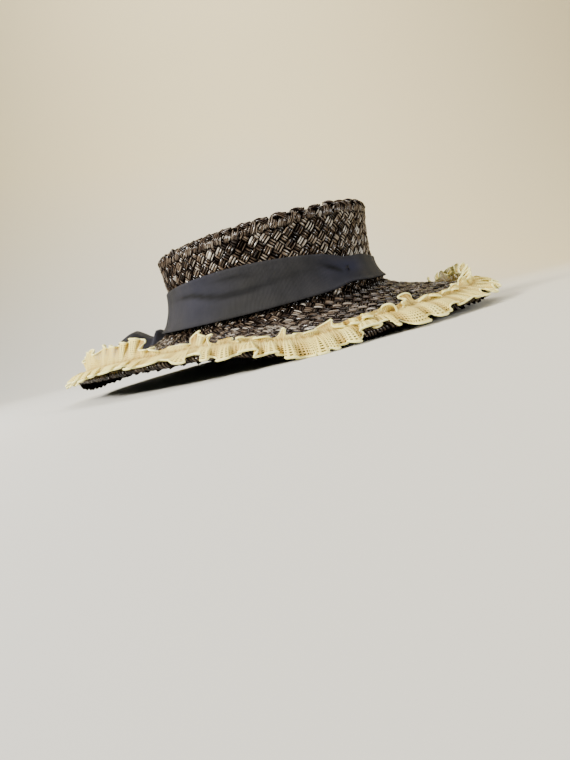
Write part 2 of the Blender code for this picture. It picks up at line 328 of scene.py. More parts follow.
class Wire:
    """A number socket that takes Python arithmetic, each step a Math node."""

    def __init__(self, board: "Board", socket: bpy.types.NodeSocket) -> None:
        """Wrap a socket of a board."""
        self.board = board
        self.socket = socket

    def math(self, operation: str, *others: "Wire | float") -> "Wire":
        """Combine with others through a Math node.

        Args:
            operation: The node's operation.
            others: The second and third values.

        Returns:
            The node's output.
        """
        return self.board.math(operation, self, *others)

    def __add__(self, other: "Wire | float") -> "Wire":
        """Sum."""
        return self.math("ADD", other)

    __radd__ = __add__

    def __sub__(self, other: "Wire | float") -> "Wire":
        """Difference."""
        return self.math("SUBTRACT", other)

    def __rsub__(self, other: float) -> "Wire":
        """Difference the other way."""
        return self.board.math("SUBTRACT", other, self)

    def __mul__(self, other: "Wire | float") -> "Wire":
        """Product."""
        return self.math("MULTIPLY", other)

    __rmul__ = __mul__

    def clamp(self) -> "Wire":
        """Keep between 0 and 1."""
        return self.math("MINIMUM", 1.0).math("MAXIMUM", 0.0)

    def above(self, other: "Wire | float") -> "Wire":
        """1 where larger than the other, else 0."""
        return self.math("GREATER_THAN", other)

    def sine(self) -> "Wire":
        """Sine."""
        return self.math("SINE")


class Board:
    """The node tree of one material."""

    def __init__(self, name: str) -> None:
        """Start a material with a Principled shader.

        Args:
            name: The material's name.
        """
        self.material = bpy.data.materials.new(name)
        self.material.use_nodes = True
        self.tree = self.material.node_tree
        self.shader = self.tree.nodes["Principled BSDF"]

    def node(
        self,
        kind: str,
        settings: dict[str, object] | None = None,
        inputs: dict[str | int, object] | None = None,
    ) -> bpy.types.Node:
        """Add any node.

        Args:
            kind: The node's type.
            settings: Its settings; stops is a colour ramp's (position, colour) rows.
            inputs: Values or links of its sockets.

        Returns:
            The node.
        """
        made = self.tree.nodes.new(kind)
        for key, value in (settings or {}).items():
            if key == "stops":
                ramp = made.color_ramp.elements
                while len(ramp) < len(value):
                    ramp.new(0.5)
                for stop, (place, colour) in zip(ramp, value):
                    stop.position = place
                    stop.color = (*colour, 1.0)
            else:
                setattr(made, key, value)
        for key, value in (inputs or {}).items():
            self.feed(made.inputs[key], value)
        return made

    def feed(self, socket: bpy.types.NodeSocket, value: object) -> None:
        """Set or link one socket.

        Args:
            socket: The socket.
            value: A value for it, or what to link to it.
        """
        if isinstance(value, Wire):
            self.tree.links.new(value.socket, socket)
        elif isinstance(value, bpy.types.NodeSocket):
            self.tree.links.new(value, socket)
        else:
            socket.default_value = value

    def math(self, operation: str, *values: Wire | float) -> Wire:
        """A Math node on values."""
        made = self.node("ShaderNodeMath", {"operation": operation}, dict(enumerate(values)))
        return Wire(self, made.outputs[0])

    def attribute(self, name: str) -> Wire:
        """A number stored on the piece's vertices."""
        return Wire(self, self.node("ShaderNodeAttribute", {"attribute_name": name}).outputs["Fac"])

    def vector(self, x: Wire | float, y: Wire | float, z: Wire | float) -> bpy.types.NodeSocket:
        """A vector of three numbers."""
        return self.node("ShaderNodeCombineXYZ", None, {0: x, 1: y, 2: z}).outputs[0]

    def noise(self, place: object, scale: float, detail: float = 3.0, roughness: float = 0.5) -> Wire:
        """Soft noise at a place."""
        inputs = {"Vector": place, "Scale": scale, "Detail": detail, "Roughness": roughness}
        return Wire(self, self.node("ShaderNodeTexNoise", None, inputs).outputs[0])

    def ramp(self, value: Wire, stops: Sequence[tuple[float, Colour]]) -> bpy.types.NodeSocket:
        """A colour for a number."""
        return self.node("ShaderNodeValToRGB", {"stops": stops}, {0: value}).outputs[0]

    def mix(self, share: object, first: object, second: object) -> bpy.types.NodeSocket:
        """Mix two colours.

        Args:
            share: How much of the second.
            first: A colour or a colour socket.
            second: A colour or a colour socket.

        Returns:
            The mixed colour's socket.
        """
        made = self.node("ShaderNodeMix", {"data_type": "RGBA"})
        for socket, value in ((made.inputs[0], share), (made.inputs[6], first), (made.inputs[7], second)):
            self.feed(socket, (*value, 1.0) if isinstance(value, tuple) else value)
        return made.outputs[2]

    def bump(self, height: Wire, strength: float, distance: float) -> None:
        """Feed a height to the shader's normal."""
        inputs = {"Strength": strength, "Distance": distance, "Height": height}
        self.feed(self.shader.inputs["Normal"], self.node("ShaderNodeBump", None, inputs).outputs[0])

    def finish(self, values: dict[str, object]) -> bpy.types.Material:
        """Set or link the shader's sockets.

        Args:
            values: A value or link for each socket, by name.

        Returns:
            The material.
        """
        for key, value in values.items():
            self.feed(self.shader.inputs[key], value)
        return self.material

    def uv(self) -> tuple[Wire, Wire]:
        """The piece's own flat coordinates, in metres along and across the cloth."""
        split = self.node("ShaderNodeSeparateXYZ", None, {0: self.node("ShaderNodeUVMap").outputs[0]})
        return Wire(self, split.outputs[0]), Wire(self, split.outputs[1])


@dataclass(frozen=True)
class StrawFinish:
    """Dark lacquered straw, each straw its own brown: glossy ridges, with near-black shade painted into
    the valleys between them and where strands dip under.
    """

    name: str = "dark_straw"
    # near-black painted shade for the valleys between ridges and where a strand dips under another
    recess_shade: Colour = (0.0025, 0.0016, 0.0012)
    stops: tuple[tuple[float, Colour], ...] = (
        (0.00, (0.010, 0.006, 0.004)),
        (0.28, (0.050, 0.031, 0.019)),
        (0.52, (0.126, 0.090, 0.060)),
        (0.76, (0.270, 0.222, 0.170)),
        (1.00, (0.610, 0.570, 0.500)),
    )
    roughness: float = 0.36
    coat: float = 0.90
    gloss: float = 0.20
    relief: float = 0.0003

    def make(self) -> bpy.types.Material:
        """Build the material.

        Returns:
            The material.
        """
        board = Board(self.name)
        along, across = board.attribute("along"), board.attribute("across")
        tone, ridge, depth = (board.attribute(key) for key in ("tone", "ridge", "depth"))
        fibre = board.noise(board.vector(along * 60.0, across * 3.0, tone * 40.0), 6.0, 4.0, 0.6)
        streak = board.noise(board.vector(along * 25.0, across * 9.0, tone * 30.0), 4.0, 2.0)
        # the ridge term is a slight painted highlight on the tops of the ridges
        shade = (tone * 1.10 + fibre * 0.50 + ridge * 0.10 - 0.40).clamp()
        straw = board.ramp(shade, self.stops)
        # open_part falls to 0 in the valleys and where a strand dips under: there the colour is painted
        # shade and the coat's gloss goes
        open_part = (ridge * 2.2 - 1.10).clamp() * (depth * 2.5 - 1.30).clamp()
        board.bump(fibre + streak * 0.6, 0.5, self.relief)
        return board.finish(
            {
                "Base Color": board.mix(open_part, self.recess_shade, straw),
                "Roughness": (streak * 0.35 + self.roughness - 0.14 + (1.0 - open_part) * 0.4).clamp(),
                "Specular IOR Level": 0.0,
                "Coat Weight": open_part * self.coat,
                "Coat Roughness": self.gloss,
            }
        )


@dataclass(frozen=True)
class RibbonFinish:
    """Charcoal grosgrain: fine cross ribs, a dull sheen and bluer patches, most about the pinch."""

    name: str = "charcoal_ribbon"
    dark: Colour = (0.010, 0.010, 0.011)
    light: Colour = (0.043, 0.041, 0.040)
    blue: Colour = (0.018, 0.021, 0.055)
    # near-black painted shade for the ribbon's folds and about its pinch
    crease: Colour = (0.003, 0.003, 0.004)
    rib: float = 0.00088
    thread: float = 0.00040
    roughness: float = 0.72
    shine: float = 0.18
    sheen: float = 0.06
    sheen_roughness: float = 0.40
    relief: float = 0.00022

    def make(self) -> bpy.types.Material:
        """Build the material.

        Returns:
            The material.
        """
        board = Board(self.name)
        along, across = board.uv()
        wobble = board.noise(board.vector(along, across, 0.0), 90.0, 2.0)
        ribs = ((along + wobble * 0.0003) * (math.tau / self.rib)).sine() * 0.5 + 0.5
        threads = (across * (math.tau / self.thread)).sine() * 0.5 + 0.5
        cloud = board.noise(board.vector(along, across * 1.5, 3.0), 28.0, 4.0, 0.6)
        grain = board.noise(board.vector(along * 9.0, across, 1.0), 130.0, 3.0)
        shade = (cloud * 1.1 + grain * 0.50 + ribs * 0.35 - 0.56).clamp()
        cloth = board.mix(shade, self.dark, self.light)
        worn = board.noise(board.vector(along, across, 8.0), 16.0, 2.0)
        tint = ((worn - 0.45) * 1.8 + board.attribute("blued")).clamp()
        tinted = board.mix(tint * 0.6, cloth, self.blue)
        board.bump(ribs + threads * 0.25 + grain * 0.3, 0.7, self.relief)
        return board.finish(
            {
                # the shade attribute paints shade into the band's folds, about its pinch and over its
                # middle
                "Base Color": board.mix(board.attribute("shade"), tinted, self.crease),
                "Roughness": self.roughness,
                "Specular IOR Level": self.shine,
                "Sheen Weight": self.sheen,
                "Sheen Roughness": self.sheen_roughness,
            }
        )


@dataclass(frozen=True)
class NetFinish:
    """Cream net: square mesh with open holes, close and plain at its rolled edges."""

    name: str = "cream_net"
    light: Colour = (1.0, 0.90, 0.31)
    deep: Colour = (0.92, 0.67, 0.14)
    shadow: Colour = (0.42, 0.23, 0.04)
    edge: Colour = (1.0, 0.96, 0.42)
    pitch: float = 0.0014
    open_over: float = -0.12
    roughness: float = 0.75
    shine: float = 0.25
    relief: float = 0.0002

    def make(self, holes: bool = True) -> bpy.types.Material:
        """Build the material.

        Args:
            holes: Whether the net's holes are open, as they are away from its rolled edges.

        Returns:
            The material.
        """
        board = Board(self.name if holes else self.name + "_edge")
        along, across = board.uv()
        turn = math.tau / self.pitch
        drift = board.noise(board.vector(along, across, 0.0), 60.0, 2.0) * 0.0006
        warp = ((along + drift) * turn).sine()
        weft = ((across + drift) * turn).sine()
        cloud = board.noise(board.vector(along, across * 2.0, 5.0), 45.0, 3.0)
        shade = ((cloud * 1.3 - 0.25) * (1.0 if holes else 0.3)).clamp()
        cloth = board.mix(shade, self.light if holes else self.edge, self.deep)
        # the folded attribute paints shade into the net's folds and along its seam
        folded = board.attribute("folded").clamp()
        values: dict[str, object] = {
            "Base Color": board.mix(folded, cloth, self.shadow),
            "Roughness": self.roughness,
            "Specular IOR Level": self.shine,
        }
        if holes:
            rolled = board.attribute("rolled")
            hole = warp.above(self.open_over) * weft.above(self.open_over) * (1.0 - rolled).above(0.5)
            values["Alpha"] = 1.0 - hole
        board.bump(0.0 - warp.math("MAXIMUM", weft), 0.5, self.relief)
        return board.finish(values)


@dataclass(frozen=True)
class StudioFinish:
    """Matt pale floor that turns up into a wall: cool low down on the left, warm cream higher up."""

    cool: Colour = (0.60, 0.61, 0.60)
    warm: Colour = (0.80, 0.69, 0.42)
    roughness: float = 0.9

    def make(self) -> bpy.types.Material:
        """Build the material.

        Returns:
            The material.
        """
        board = Board("pale_floor")
        place = board.node("ShaderNodeTexCoord").outputs["Object"]
        split = board.node("ShaderNodeSeparateXYZ", None, {0: place})
        side, up = Wire(board, split.outputs[0]), Wire(board, split.outputs[2])
        cloud = board.noise(place, 1.1, 2.0)
        share = (up * 1.2 + side.math("MAXIMUM", 0.0) * 1.5 + cloud * 0.4 - 0.10).clamp()
        colour = board.mix(share, self.cool, self.warm)
        return board.finish({"Base Color": colour, "Roughness": self.roughness})


# Meshes


def add_piece(name: str, mesh: bpy.types.Mesh, material: bpy.types.Material) -> bpy.types.Object:
    """Link a finished mesh as a smooth-shaded object.

    Args:
        name: The piece's name.
        mesh: Its mesh.
        material: Its finish.

    Returns:
        The object, at the origin.
    """
    mesh.materials.append(material)
    mesh.shade_smooth()
    made = bpy.data.objects.new(name, mesh)
    bpy.context.scene.collection.objects.link(made)
    return made


def belong(piece: bpy.types.Object, slot: Slot, *nodes: str) -> None:
    """Make a piece ride with the hat and stand for CAD nodes.

    Args:
        piece: The piece.
        slot: Its material slot; not used.
        nodes: The CAD nodes that it stands for, if any.
    """
    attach(piece, BODY)
    if nodes:
        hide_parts(*nodes)
    log.info("%s: %d faces", piece.name, len(piece.data.polygons))


@dataclass(frozen=True)
class StrandProfile:
    """Cross-section of a flat bundle of straws: round ridges on its face, nearly flat on its back."""

    ridges: int = 3
    valley: float = -0.30
    back: float = -1.15
    ridge_sides: tuple[float, float] = (0.34, 0.66)
    back_half_width: float = 0.6
    back_ridge: float = 0.3

    def table(self) -> np.ndarray:
        """The section's rows, once round it.

        Returns:
            Rows of place across from -1 to 1, height and ridge share.
        """
        rows = []
        for ridge in range(self.ridges):
            start = 2.0 * ridge / self.ridges - 1.0
            rows.append((start, self.valley, 0.0))
            for part in self.ridge_sides:
                rows.append((start + part * 2.0 / self.ridges, 1.0, 1.0))
        rows.append((1.0, self.valley, 0.0))
        for side in (self.back_half_width, -self.back_half_width):
            rows.append((side, self.back, self.back_ridge))
        return np.array(rows)


class StrandMesh:
    """Many closed strands of straw in one mesh, each the same cylinder of quads bent to its place."""

    KEYS = ("along", "across", "tone", "ridge", "depth")

    def __init__(self, name: str, stations: int, profile: StrandProfile) -> None:
        """Prepare the cylinder that every strand starts from.

        Args:
            name: The piece's name.
            stations: Cross-sections along a strand, less one.
            profile: The strand's cross-section.
        """
        self.name = name
        self.stations = stations
        self.section = profile.table()
        edit = bmesh.new()
        bmesh.ops.create_cone(
            edit, cap_ends=True, segments=len(self.section), radius1=1.0, radius2=1.0, depth=1.0
        )
        rails = [edge for edge in edit.edges if abs(edge.verts[0].co.z - edge.verts[1].co.z) > 0.5]
        bmesh.ops.subdivide_edges(edit, edges=rails, cuts=stations - 1)
        places = np.array([vertex.co for vertex in edit.verts])
        self.at = np.rint((places[:, 2] + 0.5) * stations).astype(int)
        turn = np.arctan2(places[:, 1], places[:, 0]) / math.tau
        self.round_at = np.rint(turn * len(self.section)).astype(int) % len(self.section)
        self.cylinder = bpy.data.meshes.new(name + "_cylinder")
        edit.to_mesh(self.cylinder)
        edit.free()
        self.edit = bmesh.new()
        self.values: dict[str, list[np.ndarray]] = {key: [] for key in self.KEYS}

    def add(self, points: np.ndarray, along: np.ndarray, tone: np.ndarray, depth: np.ndarray) -> None:
        """Add one strand.

        Args:
            points: Its points by station and place round the section.
            along: Length along the strand at each station.
            tone: Brown of each place round the section, 0 dark to 1 light, or by station and place.
            depth: 0 where the strand is tucked under to 1 where it lies on top, at each station; the
                straw's finish paints shade where it is low.
        """
        shape = (self.stations + 1, len(self.section))
        if tone.ndim == 1:
            tone = np.broadcast_to(tone[None, :], shape)
        rows = {
            "along": np.broadcast_to(along[:, None], shape),
            "across": np.broadcast_to(self.section[None, :, 0], shape),
            "tone": tone,
            "ridge": np.broadcast_to(self.section[None, :, 2], shape),
            "depth": np.broadcast_to(depth[:, None], shape),
        }
        for key, value in rows.items():
            self.values[key].append(value[self.at, self.round_at])
        placed = points[self.at, self.round_at]
        self.cylinder.vertices.foreach_set("co", placed.astype(np.float32).ravel())
        self.edit.from_mesh(self.cylinder)

    def finish(self, material: bpy.types.Material) -> bpy.types.Object:
        """Close the mesh and make its object.

        Args:
            material: Its finish.

        Returns:
            The object.
        """
        bmesh.ops.recalc_face_normals(self.edit, faces=self.edit.faces)
        mesh = bpy.data.meshes.new(self.name)
        self.edit.to_mesh(mesh)
        self.edit.free()
        for key, value in self.values.items():
            stored = mesh.attributes.new(key, "FLOAT", "POINT")
            stored.data.foreach_set("value", np.concatenate(value).astype(np.float32))
        bpy.data.meshes.remove(self.cylinder)
        return add_piece(self.name, mesh, material)


def bundle_tones(tone: float, spread: float, places: int, chance: np.random.Generator) -> np.ndarray:
    """Browns round one bundle's section, each a little off the bundle's own."""
    own = tone + spread * chance.standard_normal()
    return np.clip(own + STRAW_SPREAD * chance.standard_normal(places), 0.0, 1.0)


@dataclass
class Braid:
    """A closed round of plain weave in two families of flat strands, laid on a face of the hat."""

    name: str
    face: Face
    around: int
    rows: float
    first: float
    last: float
    seed: int
    lift: float = 0.00075
    thickness: float = 0.00085
    fill: float = 1.02
    out: float = -0.00150
    steps_per_row: int = 6
    bias: float = 0.15
    tone_shift: float = 0.0
    # painted light and shade that change with the direction round the hat
    painted_light_round: Curve = Curve(((0, 0.0), (180, 0.0)), FULL_TURN)
    # painted shade on the lowest rows, where the band shades the straw
    foot_shade: float = 0.0
    foot_rows: float = 1.7
    tone: float = 0.38
    # painted light: strands of one lean are lighter and those of the other darker, as light falls on their
    # slants
    lean_painted_light: float = 0.10
    strand_tones: float = 0.12
    block_tones: float = 0.17
    straw_tones: float = 0.20
    lightest: float = 0.9
    overlap: float = 0.25
    overlap_play: float = 0.12
    half_width: float = 0.3535
    wobble: float = 0.030
    ridge_shift: float = 0.10
    ridge_play: float = 0.30
    lift_play: float = 0.20
    plateau: float = 1.5
    profile: StrandProfile = StrandProfile()

    def strand(self, mesh: StrandMesh, lean: Lean, index: int, chance: np.random.Generator) -> None:
        """Lay one strand.

        Args:
            mesh: Where it goes.
            lean: Which way it leans as it crosses the round.
            index: Its number round the hat.
            chance: Seeded chance for its unevenness.
        """
        section = mesh.section
        places = len(section)
        start = -self.overlap + self.overlap_play * chance.random()
        end = self.rows + self.overlap - self.overlap_play * chance.random()
        t = np.linspace(start, end, mesh.stations + 1)
        block = np.rint(t - (0.0 if lean is Lean.RIGHT else 0.5)).astype(int) + 2
        blocks = int(self.rows) + 5
        wobble = self.wobble * np.sin(math.tau * (0.37 * t + chance.random()))
        width = self.half_width * self.fill * (0.93 + 0.09 * chance.random())
        width = width * (1.0 + 0.05 * np.sin(math.tau * (0.5 * t + chance.random())))
        inner = np.abs(section[None, :, 0]) < 0.9
        shift = (self.ridge_shift * chance.standard_normal((blocks, places)))[block]
        shifted = section[None, :, 0] + shift * inner
        side = wobble[:, None] + width[:, None] * shifted
        column = index + lean.value * t[:, None] + side * math.sqrt(0.5)
        row = t[:, None] - lean.value * side * math.sqrt(0.5)
        wave = lean.value * (np.cos(math.tau * t) + self.bias)
        plateau = np.tanh(self.plateau * wave) / math.tanh(self.plateau)
        uneven = self.lift_play * np.sin(math.tau * (0.31 * t + chance.random()))
        lift = self.lift * (plateau + uneven)
        ridge_jitter = 1.0 + self.ridge_play * chance.standard_normal((blocks, places))[block]
        height = lift[:, None] + self.thickness * section[None, :, 1] * ridge_jitter
        degrees = FULL_TURN * column / self.around
        across = self.first + (self.last - self.first) * row / self.rows
        step = 0.01 * abs(self.last - self.first) / self.rows
        points = off_face(self.face, degrees, across, height + self.out, step)
        middle = points[:, places // 2 - 1]
        along = np.concatenate([[0.0], np.cumsum(np.linalg.norm(np.diff(middle, axis=0), axis=1))])
        # the lean adds painted light to one family of strands and painted shade to the other
        tone = self.tone + self.tone_shift + self.lean_painted_light * lean.value
        tone = tone + self.strand_tones * chance.standard_normal()
        tones = tone + self.block_tones * chance.standard_normal((blocks, 1))[block]
        tones = tones + self.straw_tones * chance.standard_normal((blocks, places))[block]
        # painted light and shade by direction, and painted shade on the lowest rows
        tones = tones + self.painted_light_round(degrees[:, :1]) - self.foot_shade * (t < self.foot_rows)[:, None]
        mesh.add(points, along + chance.random(), np.clip(tones, 0.0, self.lightest), 0.5 + 0.5 * plateau)

    def build(self, material: bpy.types.Material) -> bpy.types.Object:
        """Lay all strands of both families.

        Args:
            material: Their finish.

        Returns:
            The object.
        """
        chance = np.random.default_rng(self.seed)
        stations = round((self.rows + 0.4) * self.steps_per_row)
        mesh = StrandMesh(self.name, stations, self.profile)
        for lean in Lean:
            for index in range(self.around):
                self.strand(mesh, lean, index, chance)
        return mesh.finish(material)


@dataclass
class Crown:
    """The crown: a side of plain weave, a flat top in rounds, and the folded rim."""

    side_columns: int = 64
    side_rows: float = 7.0
    tip_rounds: tuple[tuple[float, float, float, int], ...] = (
        # outer and inner half length in millimetres, rows, strands of each family round
        (87.5, 61.5, 3.0, 56),
        (63.0, 37.0, 3.0, 38),
        (38.5, 15.5, 2.7, 21),
        (17.0, 2.5, 1.6, 9),
    )
    teeth: int = 40
    peak_climb: float = 0.0064
    rim_radius: float = 0.0062
    rim_half_length: float = 0.0896
    rim_lift: float = -0.0003
    rim_shift: float = -0.0008
    fold_thickness: float = 0.0007
    fold_length: float = 0.012
    fringe_count: int = 206
    fringe_length: float = 0.008
    fringe_tone: float = 0.47
    fringe_top: float = 1.035
    # painted shade round 205 to 234 degrees and painted light round 322 degrees on the crown's side
    side_painted_light: Curve = Curve(
        ((150, 0.0), (205, -0.16), (234, -0.10), (256, 0.05), (285, 0.0), (322, 0.16)), FULL_TURN
    )

    def build_side(self, straw: bpy.types.Material) -> None:
        """The side wall.

        Args:
            straw: The straw's finish.
        """
        braid = Braid(
            "crown_plait",
            HAT.crown,
            self.side_columns,
            self.side_rows,
            first=-0.01,
            last=1.0,
            seed=14,
            fill=1.08,
            foot_shade=0.45,
            painted_light_round=self.side_painted_light,
        )
        belong(braid.build(straw), Slot.STRAW, "crown_side")

    def build_tip(self, straw: bpy.types.Material) -> None:
        """The flat top, each round under the one outside it.

        Args:
            straw: The straw's finish.
        """
        for number, (outer, inner, rows, columns) in enumerate(self.tip_rounds):
            braid = Braid(
                f"tip_plait_{number + 1}",
                HAT.tip,
                columns,
                rows,
                MM * inner,
                MM * outer,
                seed=31 + number,
                out=-0.0013 - 0.0002 * number,
            )
            belong(braid.build(straw), Slot.STRAW, "crown_tip")

    def rim_face(self, degrees: np.ndarray, climb: np.ndarray) -> np.ndarray:
        """Points of the rim's face: up the crown, then rolled in over the top.

        Args:
            degrees: Directions round the hat.
            climb: Metres up the face from the crown's top edge.

        Returns:
            The points.
        """
        bend = np.maximum(climb, 0.0) / self.rim_radius
        out = -self.rim_radius * (1.0 - np.cos(bend))
        up = np.where(climb > 0.0, self.rim_radius * np.sin(bend), climb)
        height = HAT.swing(HAT.crown_top, degrees) + self.rim_lift + up
        half_length = self.rim_half_length + out - HAT.tuck(degrees, 1.0)
        return HAT.oval(half_length, HAT.crown_oval, self.rim_shift, degrees, height)

    def rim_fold(
        self,
        mesh: StrandMesh,
        run: Sequence[tuple[float, float]],
        half_width: float,
        out: float,
        tone: float,
        point: float,
        chance: np.random.Generator,
    ) -> None:
        """Lay one bundle of a fold over the rim.

        Args:
            mesh: Where it goes.
            run: Places in teeth and metres of climb at its start, middle and end.
            half_width: Half its width.
            out: How far it stands off the rim.
            tone: Its brown.
            point: How far its end narrows to a point, from 0 to 1.
            chance: Seeded chance for its unevenness.
        """
        section = mesh.section
        t = np.linspace(0.0, 1.0, mesh.stations + 1)
        weights = np.stack([(1.0 - t) ** 2, 2.0 * t * (1.0 - t), t**2], axis=1)
        pitch = math.radians(FULL_TURN / self.teeth) * self.rim_half_length
        path = weights @ np.array([(tooth * pitch, climb) for tooth, climb in run])
        ahead = np.gradient(path, axis=0)
        ahead /= np.linalg.norm(ahead, axis=1, keepdims=True)
        taper = half_width * (0.85 + 0.15 * np.sin(math.pi * t)) * (1.0 - point * t**4)
        offset = taper[:, None] * section[None, :, 0]
        sideways = path[:, 0, None] + ahead[:, 1, None] * offset
        climb = path[:, 1, None] - ahead[:, 0, None] * offset
        degrees = sideways / pitch * FULL_TURN / self.teeth
        jitter = 1.0 + 0.25 * chance.standard_normal(len(section))
        arch = np.sin(math.pi * np.clip(t, 0.06, 0.94))[:, None]
        height = out * arch + self.fold_thickness * section[None, :, 1] * jitter
        points = off_face(self.rim_face, degrees, climb, height, 0.0002)
        tones = np.clip(tone + 0.13 * chance.standard_normal(len(section)), 0.0, 1.0)
        depth = 0.35 + 0.65 * np.sin(math.pi * np.clip(t, 0.0, 1.0)) ** 0.5
        mesh.add(points, self.fold_length * t + chance.random(), tones, depth)

    def build_rim(self, straw: bpy.types.Material) -> None:
        """The rim's folds: a bundle painted light climbs to each point and one painted in shade runs down
        from it.

        Args:
            straw: The straw's finish.
        """
        chance = np.random.default_rng(5)
        mesh = StrandMesh("rim_folds", 9, StrandProfile())
        for tooth in range(self.teeth):
            at = tooth + 0.07 * chance.standard_normal()
            top = self.peak_climb * (1.0 + 0.14 * chance.standard_normal())
            climbing = ((at - 0.02, -0.0030), (at + 0.16, 0.0012), (at + 0.40, top + 0.0012))
            falling = ((at + 0.34, top + 0.0004), (at + 0.62, top * 0.75), (at + 1.12, -0.0002))
            inner = ((at + 0.30, 0.0035), (at + 0.60, 0.0062), (at + 1.05, 0.0080))
            # the climbing bundle's light tone is painted light and the falling bundle's dark tone is
            # painted shade
            for run, half_width, out, tone, point in (
                (climbing, 0.0026, 0.0008, 0.46, 0.80),
                (falling, 0.0017, 0.0017, 0.16, 0.3),
                (inner, 0.0026, 0.0002, 0.30, 0.0),
            ):
                self.rim_fold(mesh, run, half_width, out, tone, point, chance)
        belong(mesh.finish(straw), Slot.STRAW, "crown_tip")

    def build_fringe(self, straw: bpy.types.Material) -> None:
        """The row of short folded straw ends under the rim.

        Args:
            straw: The straw's finish.
        """
        profile = StrandProfile(ridges=2, valley=0.5, back=-0.6)
        chance = np.random.default_rng(8)
        mesh = StrandMesh("rim_ends", 5, profile)
        section = mesh.section
        for index in range(self.fringe_count):
            t = np.linspace(0.0, 1.0, 6)
            begin = FULL_TURN * (index + 0.25 * chance.standard_normal()) / self.fringe_count
            lean = 1.5 + 0.5 * chance.standard_normal()
            low = 0.938 + 0.010 * chance.standard_normal()
            half_width = 0.62 + 0.10 * chance.standard_normal()
            degrees = begin + lean * t[:, None] + half_width * section[None, :, 0]
            share = low + (self.fringe_top - low) * t[:, None] - 0.006 * section[None, :, 0]
            out = 0.0005 * np.sin(math.pi * t[:, None]) + 0.0005 * section[None, :, 1] - 0.0005
            points = off_face(HAT.crown, degrees, share, out, 0.004)
            tones = bundle_tones(self.fringe_tone, 0.16, len(section), chance)
            depth = 0.55 + 0.45 * np.sin(math.pi * t)
            mesh.add(points, self.fringe_length * t + chance.random(), tones, depth)
        belong(mesh.finish(straw), Slot.STRAW, "crown_tip")

    def build(self, straw: bpy.types.Material) -> None:
        """Build every part of the crown.

        Args:
            straw: The straw's finish.
        """
        self.build_side(straw)
        self.build_tip(straw)
        self.build_rim(straw)
        self.build_fringe(straw)


@dataclass
class Brim:
    """The brim: three rounds of plain weave and a corded edge."""

    rounds: tuple[tuple[float, float, float, int], ...] = (
        # inner and outer half length in millimetres, rows, strands of each family round
        (94.5, 121.5, 3.0, 78),
        (120.0, 146.0, 3.0, 96),
        (144.5, 168.5, 3.0, 113),
    )
    edge_strands: int = 190
    edge_radius: float = 0.0021
    edge_half_length: float = 0.1690
    edge_turn: float = 2.3
    edge_wrap: float = 300.0
    edge_squash: float = 0.8
    edge_drop: float = 0.0008
    edge_tone: float = 0.26
    edge_length: float = 0.013
    floor_gap: float = 0.00015
    # painted shade: the brim darker towards its front, most round 312 degrees, with a trace of painted
    # light round 276 degrees
    tones: Curve = Curve(((0, -0.16), (60, 0.0), (200, 0.0), (276, 0.04), (312, -0.26)), FULL_TURN)

    def build_rounds(self, straw: bpy.types.Material) -> None:
        """The rounds, each lapped over the next one out.

        Args:
            straw: The straw's finish.
        """
        for number, (inner, outer, rows, columns) in enumerate(self.rounds):
            braid = Braid(
                f"brim_plait_{number + 1}",
                HAT.brim,
                columns,
                rows,
                MM * inner,
                MM * outer,
                seed=51 + number,
                out=-0.00135,
                bias=0.25,
                tone_shift=-0.07,
                painted_light_round=self.tones,
            )
            belong(braid.build(straw), Slot.STRAW, "brim")

    def build_edge(self, straw: bpy.types.Material) -> None:
        """The edge's slanting bundles wrapped round its last row.

        Args:
            straw: The straw's finish.
        """
        profile = StrandProfile(ridges=3, valley=0.35, back=-0.7)
        chance = np.random.default_rng(71)
        mesh = StrandMesh("brim_edge", 9, profile)
        section = mesh.section
        for index in range(self.edge_strands):
            t = np.linspace(0.0, 1.0, 10)
            begin = FULL_TURN * (index + 0.12 * chance.standard_normal()) / self.edge_strands
            half_width = FULL_TURN / self.edge_strands * (0.60 + 0.08 * chance.standard_normal())
            degrees = begin + self.edge_turn * t[:, None] + half_width * section[None, :, 0]
            bend = np.radians(self.edge_wrap / 2.0 - self.edge_wrap * t)[:, None]
            size = self.edge_radius * (1.0 + 0.13 * chance.standard_normal())
            reach = size + 0.00045 * section[None, :, 1] + 0.0004 * np.sin(math.pi * t)[:, None]
            middle = HAT.brim(degrees, np.full_like(degrees, self.edge_half_length))
            out = reach * np.cos(bend)
            points = HAT.brim(degrees, self.edge_half_length + out)
            height = middle[..., 2] + reach * np.sin(bend) * self.edge_squash - self.edge_drop
            points[..., 2] = np.maximum(height, self.floor_gap)
            tones = bundle_tones(self.edge_tone, 0.15, len(section), chance)
            depth = 0.35 + 0.5 * np.sin(math.pi * t)
            mesh.add(points, self.edge_length * t + chance.random(), tones, depth)
        belong(mesh.finish(straw), Slot.STRAW, "brim")

    def build(self, straw: bpy.types.Material) -> None:
        """Build every part of the brim."""
        self.build_rounds(straw)
        self.build_edge(straw)


